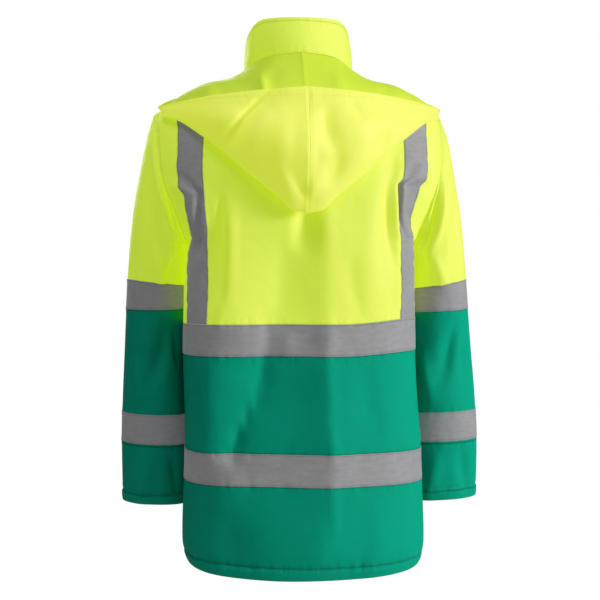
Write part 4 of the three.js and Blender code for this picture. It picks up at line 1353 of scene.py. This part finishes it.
def tape(name, node, place, columns, rows, edges, away, upright=False, ring=False):
    """A piece of tape on the cloth. edges are its long edges: rows or, on an upright piece, columns."""
    obj, grid, c, r = woven(name, place, columns, rows, TAPE_OUT, ring=ring)
    face_out(obj, away)
    at, unit = (np.abs(c), COLUMN_MM) if upright else (r, 1)
    distance = np.min([np.abs(at - edge) * unit for edge in edges], axis=0)
    store(obj, "tape_edge", np.abs(distance - TAPE_STITCH)[: len(obj.data.vertices)])
    dress(obj, TAPE, "reflective_tape", node, TAPE_THICK)
    sheet(obj, grid)


TAPE_STEPS = np.array([0, 1.1, 2.2, 3.6])


def near_edges(low, high, step, unit=1.0):
    """Rows or columns from one edge of a tape to the other, close to each other beside its edges."""
    return spaced([*(low + TAPE_STEPS * unit), *(high - TAPE_STEPS * unit)], step)


for name, face, side, columns in PANELS:
    for part, rows in (("upper", UPPER_BAND), ("lower", LOWER_BAND)):
        node = f"band_{part}_{name}"
        on = [f"{name}_lower_cloth"] + ([f"{name}_upper_cloth"] if part == "upper" else [])
        tape(f"tape_{node}", node, places[name], columns, near_edges(*rows, GRID), rows, from_axis)

# The braces start just above the upper band.
BRACE_STEPS = (0.4, 3)
low_rows = [UPPER_BAND[1] + off for off in BRACE_STEPS]
brace_rows = spaced([*low_rows, ARMPIT, *top_rows], GRID)
brace_columns = near_edges(BRACE_INNER, BRACE_OUTER, share_step, 1 / COLUMN_MM)
for face_name, side_name, sign in (
    ("back", "left", 1), ("back", "right", -1), ("front", "left", 1), ("front", "right", -1),
):
    panel = "back" if face_name == "back" else f"front_{side_name}"
    node = f"brace_{face_name}_{side_name}"
    columns = brace_columns if sign > 0 else -brace_columns[::-1]
    edges = (BRACE_INNER, BRACE_OUTER)
    on = [f"{panel}_upper_cloth"]
    tape(f"tape_{node}", node, places[panel], columns, brace_rows, edges, from_axis, upright=True)

# Sleeves: their widest radius, and their middle lines' x and y by level.
WIDEST_SLEEVE = 76
MIDDLE_X = ([-726, -371, -112], [246, 238, 222])
MIDDLE_Y = ([-726, -551, -380, -230, -112], [-80, -62, -42, -14, 4])

sleeve_places = {"left": sleeve_place(1), "right": sleeve_place(-1)}
sleeve_angles = np.linspace(0, 2 * np.pi, int(2 * np.pi * WIDEST_SLEEVE / GRID) + 1)
sleeve_upper = spaced([*EDGE_STEPS, ELBOW_TAPE[0], SLEEVE_SEAM], GRID)
sleeve_lower = spaced([SLEEVE_SEAM, ELBOW_TAPE[1], *FOREARM_TAPE, CUFF - CUFF_TURN, CUFF], GRID)
cuff_turn = (CUFF, -1, TURN_RADIUS, CUFF_TURN, 1)


def from_sleeve(sign):
    """Outwards from the middle line of the left sleeve (1) or the right one (-1)."""

    def away(centres):
        away = centres / MM
        z = away[:, 2].copy()
        away[:, 0] -= sign * np.interp(z, *MIDDLE_X)
        away[:, 1] -= np.interp(z, *MIDDLE_Y)
        away[:, 2] = 0
        return away

    return away


def sleeve_lift(angle, along):
    return tuck(along, SLEEVE_TUCK) + tuck(np.mod(angle, 2 * np.pi) - np.pi, UNDER_TUCK)


def sleeve_seams(obj, along):
    """How far each point is from the sleeve's sewn lines, for the material."""
    count = len(obj.data.vertices)
    lines = np.min([np.abs(along - line) for line in SLEEVE_LINES], axis=0)
    store(obj, "level_seam", lines[:count])
    store(obj, "upright_seam", np.full(count, NO_SEAM))


for side, sign in (("left", 1), ("right", -1)):
    place = sleeve_places[side]
    away = from_sleeve(sign)
    for part, rows, turn, finish, inside, slot in (
        ("upper", sleeve_upper, None, YELLOW, YELLOW_INSIDE, "shell_yellow"),
        ("lower", sleeve_lower, cuff_turn, GREEN, GREEN_INSIDE, "shell_green"),
    ):
        name = f"sleeve_{side}_{part}_cloth"
        obj, grid, _, r = woven(name, place, sleeve_angles, rows, PANEL_OUT, sleeve_lift, turn, ring=True)
        face_out(obj, away)
        sleeve_seams(obj, r)
        dress(obj, finish, slot, f"sleeve_{side}_{part}", PANEL_THICK, inside)
        on = ["back_upper_cloth", f"front_{side}_upper_cloth"]
        sheet(obj, grid)
    for part, rows in (("elbow", ELBOW_TAPE), ("forearm", FOREARM_TAPE)):
        node = f"sleeve_{side}_tape_{part}"
        on = [f"sleeve_{side}_lower_cloth"] + ([f"sleeve_{side}_upper_cloth"] if part == "elbow" else [])
        band_rows = near_edges(*rows, GRID)
        tape(f"band_{side}_{part}", node, place, sleeve_angles, band_rows, rows, away, ring=True)

# Collar: one strip, up the outside, over the top edge and down the inside. Rows are shares of its rise, which
# run over the top edge near 1 and then down again.
COLLAR_OPEN = math.asin(ZIP_HALF / NECK_HALF)
COLLAR_MM = 62
COLLAR_WIDE_STEP = GRID / 84
COLLAR_STEP = GRID / 60
COLLAR_UP = [0, 0.02, 0.05, 0.97]
COLLAR_OVER = (0.975, 1.03)
COLLAR_DOWN = [1.04, 1.97]
OVER_ROWS = (0.97, 0.06)
COLLAR_EDGE = 0.985
COLLAR_HALF = 1.1
COLLAR_OUT = 0.2
COLLAR_THICK = 0.7
# Its stitched lines, as shares of its rise, and how far from the zip its edges are stitched, in radians.
COLLAR_LINES = (0.08, 0.9)
COLLAR_ZIP_LINE = 0.06


def collar_turned(angle, row, lift):
    start, length = OVER_ROWS
    over = np.pi * np.clip((row - start) / length, 0, 1)
    rise = np.minimum(np.where(row > 1, 2 - row, row), COLLAR_EDGE) + (1 - COLLAR_EDGE) * np.sin(over)
    return collar_place(angle, rise, COLLAR_HALF * np.cos(over) + lift)


collar_angles = spaced([COLLAR_OPEN - np.pi, np.pi - COLLAR_OPEN], COLLAR_WIDE_STEP)
collar_rows = np.concatenate([
    spaced(COLLAR_UP, COLLAR_STEP), np.linspace(*COLLAR_OVER, 10), spaced(COLLAR_DOWN, COLLAR_STEP),
])
obj, grid, c, r = woven("collar_cloth", collar_turned, collar_angles, collar_rows, COLLAR_OUT)
face_rows(obj, grid, slice(0, 12), from_axis)
seams = [np.abs(r - line) for line in (*COLLAR_LINES, 2 - COLLAR_LINES[1])]
store(obj, "level_seam", np.min(seams, axis=0) * COLLAR_MM)
store(obj, "upright_seam", np.abs(np.pi - COLLAR_OPEN - np.abs(c) - COLLAR_ZIP_LINE) * NECK_HALF)
dress(obj, YELLOW, "shell_yellow", "collar", COLLAR_THICK)
sheet(obj, grid)

# Hood halves: from the neck seam down the inner layer, round the bottom fold and up to the rim. First their
# columns and rows, as shares, then the rim's turn and stitches, and the seam in the middle.
HOOD_COLUMN_MARKS = [0, 0.004, 0.01, 0.02, 0.46, 0.68, 1]
HOOD_COLUMN_STEP = 0.012
HOOD_ROW_MARKS = [0, 0.44, 0.56, 1]
HOOD_ROW_STEP = 0.014
HOOD_OUT = 0.5
RIM_RADIUS = 0.9
RIM_LINE = 1 - RIM_TURN * HOOD_MM_SHARE
HOOD_SEAM = 0.012
HOOD_SEAM_OFF = 2


def hood_lift(at, down):
    return tuck(at * HOOD_WIDE_MM, HOOD_TUCK)


hood_across = spaced(HOOD_COLUMN_MARKS, HOOD_COLUMN_STEP)
hood_rows = spaced(HOOD_ROW_MARKS, HOOD_ROW_STEP)
outer_rows = slice(int(0.55 * len(hood_rows)), int(0.85 * len(hood_rows)))
rim_turn = (1, -1, RIM_RADIUS, RIM_TURN, HOOD_MM_SHARE)
for side, sign in (("left", 1), ("right", -1)):
    obj, grid, c, r = woven(
        f"hood_{side}_cloth", hood_place(sign), hood_across, hood_rows, HOOD_OUT, hood_lift, rim_turn
    )
    face_rows(obj, grid, outer_rows, towards(0, 1, 0.3))
    store(obj, "level_seam", np.minimum(np.abs(RIM_LINE - r), r) / HOOD_MM_SHARE)
    store(obj, "upright_seam", np.abs(c - HOOD_SEAM) * HOOD_WIDE_MM + HOOD_SEAM_OFF)
    dress(obj, HOOD_YELLOW_PAINTED_LIGHT, "shell_yellow", f"hood_{side}", PANEL_THICK, YELLOW_INSIDE)
    sheet(obj, grid)

# Zip: a cloth tape behind the front edges, and teeth between them. Its path runs up the panels and the
# collar, and all sizes are in millimetres but the rises, which are shares of the collar's.
ZIP_BOTTOM = HEM + 20
ZIP_TOP = TOP - 3
ZIP_RISES = (0.06, 0.93)
ZIP_SLIDER = 0.74
ZIP_TAPE_HALF = 15
ZIP_TAPE_OUT = -2.2
ZIP_TAPE_THICK = 0.7
# The tape's middle is flat this far, and past it the tape falls back by this rate.
ZIP_FLAT = 3
ZIP_FALL = 0.0035


def distances(points):
    """How far along a line each of its points is."""
    return np.concatenate([[0], np.cumsum(np.linalg.norm(np.diff(points, axis=0), axis=1))])


def along_line(at, run, values):
    """Points or directions at some distances along a line."""
    return np.stack([np.interp(at, run, values[:, k]) for k in range(3)], -1)


def zip_path():
    """Distances along the zip, its points there, and the distance at which the slider sits."""
    levels = np.linspace(ZIP_BOTTOM, ZIP_TOP, 170)
    zeros = np.zeros(len(levels))
    sides = [folded_body(FRONT, zeros, levels, zeros + side) for side in (1, -1)]
    panel = (sides[0] + sides[1]) / 2
    panel[:, 0] = swayed(BODY_SWAY, levels)
    low, high = ZIP_RISES
    rises = np.linspace(low, high, 24)
    stand = collar_surface(np.full(len(rises), np.pi), rises)
    stand[:, 0] = 0
    points = np.concatenate([panel, stand])
    run = distances(points)
    seam = run[len(panel)]
    return run, points, seam + (run[-1] - seam) * (ZIP_SLIDER - low) / (high - low)


ZIP_RUN, ZIP_POINTS, SLIDER_AT = zip_path()


def zip_at(run):
    return along_line(run, ZIP_RUN, ZIP_POINTS)


def zip_frame(run):
    """The directions up the zip and out of it."""
    up = zip_at(run + 2) - zip_at(run - 2)
    up /= np.linalg.norm(up, axis=1)[:, None]
    out = np.cross(np.tile([1.0, 0.0, 0.0], (len(run), 1)), up)
    out *= -np.sign(out[:, 1:2])
    return up, out


def zip_place(x, run, lift):
    point = zip_at(run)
    _, out = zip_frame(run)
    fall = ZIP_FALL * np.maximum(np.abs(x) - ZIP_FLAT, 0) ** 2
    point[:, 0] += x
    return point + out * (lift - fall)[:, None]


zip_rows = np.linspace(0.5, ZIP_RUN[-1] - 0.5, 200)
zip_columns = np.linspace(-ZIP_TAPE_HALF, ZIP_TAPE_HALF, 11)
obj, grid, _, _ = woven("zip_tape_strip", zip_place, zip_columns, zip_rows, ZIP_TAPE_OUT)
face_rows(obj, grid, slice(0, 100), towards(0, -1, 0))
dress(obj, ZIP_CLOTH, "zip_chain", "zip_chain", ZIP_TAPE_THICK)
sheet(obj, grid)


def added(name, bm, material):
    """A small hard piece or a run of thread that rides on the jacket."""
    obj = made(name, bm)
    obj.data.materials.append(material)
    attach(obj, "jacket")
    return obj


def merge_batch(whole, batch):
    """Adds a small bmesh to a large one, because operators slow down on a large one."""
    mesh = bpy.data.meshes.new("batch")
    batch.to_mesh(mesh)
    batch.free()
    whole.from_mesh(mesh)
    bpy.data.meshes.remove(mesh)


def axes(centre, x, y, z):
    """A matrix that puts a unit shape at a place in millimetres, with these axes and sizes."""
    matrix = np.eye(4)
    matrix[:3, 0] = x * MM
    matrix[:3, 1] = y * MM
    matrix[:3, 2] = z * MM
    matrix[:3, 3] = centre * MM
    return Matrix(matrix)


# A tooth's width, height and depth, its rounding, and how far it stands to the side and out. Then the teeth's
# first and last places, their distance from the slider's middle, and how far apart they are above it.
TOOTH_PITCH = 3.0
TOOTH = (3.1, 1.5, 2.4)
TOOTH_ROUND = 0.28
TOOTH_SIDE = 1.25
TOOTH_OUT = -0.2
TOOTH_FIRST = 3
TOOTH_LAST = 2
SLIDER_CLEAR = 7.5
OPEN_GAP = 2.0

teeth = bmesh.new()
for side in (1, -1):
    first = TOOTH_FIRST + (side > 0) * TOOTH_PITCH / 2
    runs = np.arange(first, ZIP_RUN[-1] - TOOTH_LAST, TOOTH_PITCH)
    runs = runs[np.abs(runs - SLIDER_AT) > SLIDER_CLEAR]
    ups, outs = zip_frame(runs)
    apart = side * (TOOTH_SIDE + np.where(runs > SLIDER_AT, OPEN_GAP, 0.0))
    batch = bmesh.new()
    for centre, up, out, across in zip(zip_at(runs), ups, outs, apart):
        place = centre + out * TOOTH_OUT + np.array([across, 0, 0])
        matrix = axes(place, np.array([TOOTH[0], 0, 0]), up * TOOTH[1], out * TOOTH[2])
        bmesh.ops.create_cube(batch, size=1, matrix=matrix)
    bmesh.ops.bevel(
        batch, geom=batch.edges[:], offset=TOOTH_ROUND * MM, segments=1, profile=0.5, affect="EDGES",
        material=-1,
    )
    merge_batch(teeth, batch)
added("zip_teeth", teeth, ZIP_PLASTIC)

for name in ("zip_slider", "zip_pull"):
    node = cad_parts[name]
    for place in node.material_slots:
        place.material = ZIP_METAL

# Stitches: a run of small thread lengths along each sewn line, each this wide, high and long.
STITCH_PITCH = 4.2
STITCH = (0.5, 0.42, 3.1)


def stitched(name, material, lines):
    """Stitches along lines, each given by the function that places it, its columns, its rows and its lift."""
    whole = bmesh.new()
    for place, columns, rows, lift in lines:
        count = max(len(np.atleast_1d(columns)), len(np.atleast_1d(rows)))
        c = np.broadcast_to(np.asarray(columns, float), count)
        r = np.broadcast_to(np.asarray(rows, float), count)
        points = place(c, r, np.full(count, lift))
        normals = place(c, r, np.full(count, lift + 1.0)) - points
        run = distances(points)
        at = np.arange(STITCH_PITCH / 2, run[-1], STITCH_PITCH)
        centre = along_line(at, run, points)
        normal = along_line(at, run, normals)
        along = along_line(at + 1, run, points) - along_line(at - 1, run, points)
        along /= np.linalg.norm(along, axis=1)[:, None]
        normal -= along * (normal * along).sum(1)[:, None]
        normal /= np.linalg.norm(normal, axis=1)[:, None]
        side = np.cross(normal, along)
        batch = bmesh.new()
        for k in range(len(at)):
            matrix = axes(
                centre[k], side[k] * STITCH[0] / 2, normal[k] * STITCH[1] / 2, along[k] * STITCH[2] / 2
            )
            bmesh.ops.create_uvsphere(batch, u_segments=5, v_segments=4, radius=1, matrix=matrix)
        merge_batch(whole, batch)
    shade_smooth(added(name, whole, material).data)


# How far each layer's stitches lie from the middle of its solid.
ON_PANEL = PANEL_OUT + 0.05
ON_TAPE = TAPE_OUT + 0.05
ON_HOOD = 0.6
ON_COLLAR = 0.25
FRONTS = ((1, "front_left"), (-1, "front_right"))
# Stitched lines beside the zip and the shoulder seam, in millimetres, and beside the hood's seam, in shares.
ZIP_STITCH = 7
SHOULDER_STITCH = 6
HOOD_STITCH = 0.018
hem_line = HEM + HEM_TURN
upper_levels = np.linspace(UPPER_BAND[1] + 1, TOP - 8, 160)
lower_levels = np.linspace(hem_line, UPPER_BAND[0] - 1, 130)
arm_levels = np.linspace(ARMPIT + 4, TOP - 3, 120)
across_back = np.linspace(-0.985, 0.985, 200)
across_front = np.linspace(0.02, 0.985, 100)
band_front = np.linspace(0.01, 0.985, 100)
shoulder_shares = np.linspace(0.36, 0.96, 60)
rim_shares = np.linspace(0.01, 0.97, 160)
hood_shares = np.linspace(0.03, 0.99, 120)
round_sleeve = np.linspace(0, 2 * np.pi, 140)
arm_share = 1 - ARM_STITCH / COLUMN_MM
zip_share = ZIP_STITCH / COLUMN_MM
tape_share = TAPE_STITCH / COLUMN_MM

yellow_lines = []
green_lines = [(places["back"], across_back, hem_line, ON_PANEL)]
grey_lines = []
for sign, name in FRONTS:
    yellow_lines.append((places["back"], sign * arm_share, arm_levels, ON_PANEL))
    yellow_lines.append((places[name], sign * arm_share, arm_levels, ON_PANEL))
    yellow_lines.append((places[name], sign * zip_share, upper_levels, ON_PANEL))
    yellow_lines.append((places["back"], sign * shoulder_shares, TOP - SHOULDER_STITCH, ON_PANEL))
    yellow_lines.append((hood_place(sign), rim_shares, RIM_LINE, ON_HOOD))
    yellow_lines.append((hood_place(sign), HOOD_STITCH, hood_shares, ON_HOOD))
    green_lines.append((places[name], sign * zip_share, lower_levels, ON_PANEL))
    green_lines.append((places[name], sign * across_front, hem_line, ON_PANEL))
    for share in (BRACE_INNER + tape_share, BRACE_OUTER - tape_share):
        grey_lines.append((places["back"], sign * share, upper_levels, ON_TAPE))
        grey_lines.append((places[name], sign * share, upper_levels, ON_TAPE))
for line in COLLAR_LINES:
    yellow_lines.append((collar_turned, collar_angles[2:-2], line, ON_COLLAR))
for place in sleeve_places.values():
    green_lines.append((place, round_sleeve, CUFF - CUFF_TURN, ON_PANEL))
    for low, high in (ELBOW_TAPE, FOREARM_TAPE):
        grey_lines.append((place, round_sleeve, low + TAPE_STITCH, ON_TAPE))
        grey_lines.append((place, round_sleeve, high - TAPE_STITCH, ON_TAPE))
for low, high in (UPPER_BAND, LOWER_BAND):
    for level in (low + TAPE_STITCH, high - TAPE_STITCH):
        grey_lines.append((places["back"], across_back, level, ON_TAPE))
        for sign, name in FRONTS:
            grey_lines.append((places[name], sign * band_front, level, ON_TAPE))
stitched("stitches_yellow", THREAD_YELLOW, yellow_lines)
stitched("stitches_green", THREAD_GREEN, green_lines)
stitched("stitches_grey", THREAD_GREY, grey_lines)

# Floor, lights and camera, in metres. A light has its place, target, size and power.
FLOOR = -1.45
FLOOR_RADIUS = 1.5
WHITE = (1, 1, 1, 1)
WORLD_LIGHT = 0.13
MIDDLE = (0, 0, -0.4)
LIGHTS = {
    "key": ((-2.3, 1.33, 0.25), MIDDLE, 0.8, 78),
    "fill": ((0.3, 2.7, 0.2), MIDDLE, 1.0, 5),
    "top": ((0.8, 0.9, 1.9), (0, 0.1, -0.15), 0.9, 26),
    "front_fill": ((0.3, -2.4, 0.3), MIDDLE, 1.8, 40),
}
CAMERA_PLACE = (0.214, 2.289, -0.315)
CAMERA_TARGET = (-0.004, 0, -0.381)
CAMERA_LENS = 83.13


def aimed(name, data, place, target):
    """An object in the scene that looks from a place at a target."""
    obj = bpy.data.objects.new(name, data)
    bpy.context.scene.collection.objects.link(obj)
    obj.location = place
    obj.rotation_euler = (Vector(target) - Vector(place)).to_track_quat("-Z", "Y").to_euler()
    return obj


bm = bmesh.new()
floor_place = Matrix.Translation((0, 0, FLOOR))
bmesh.ops.create_circle(bm, cap_ends=True, segments=96, radius=FLOOR_RADIUS, matrix=floor_place)
floor = made("floor", bm)
floor_finish = Finish("floor_pale", {"Roughness": 0.8})
grain = floor_finish.noise(floor_finish.place(), 6.0)
floor_finish.feed("Base Color", floor_finish.mix(grain, (0.8, 0.8, 0.8, 1), (0.84, 0.84, 0.84, 1)))
floor.data.materials.append(floor_finish.material)

for name, (place, target, size, power) in LIGHTS.items():
    lamp = bpy.data.lights.new(name, "AREA")
    lamp.shape = "DISK"
    lamp.size = size
    lamp.energy = power
    aimed(name, lamp, place, target)

# The background is seen white, and lights the jacket less than it seems to.
world = bpy.data.worlds.new("studio")
bpy.context.scene.world = world
world.use_nodes = True
studio = Nodes(world.node_tree)
studio.tree.nodes.clear()
seen = studio.node("Background", {}, {"Color": WHITE})
lit = studio.node("Background", {}, {"Color": WHITE, "Strength": WORLD_LIGHT})
camera_ray = studio.node("LightPath", output="Is Camera Ray")
blend = studio.node("MixShader", {}, {0: camera_ray, 1: lit, 2: seen})
shown = studio.tree.nodes.new("ShaderNodeOutputWorld")
studio.tree.links.new(blend.socket, shown.inputs["Surface"])

camera_data = bpy.data.cameras.new("camera")
camera_data.lens = CAMERA_LENS
camera_data.sensor_width = 36
bpy.context.scene.camera = aimed("camera", camera_data, CAMERA_PLACE, CAMERA_TARGET)
bpy.context.scene.view_settings.view_transform = "Standard"
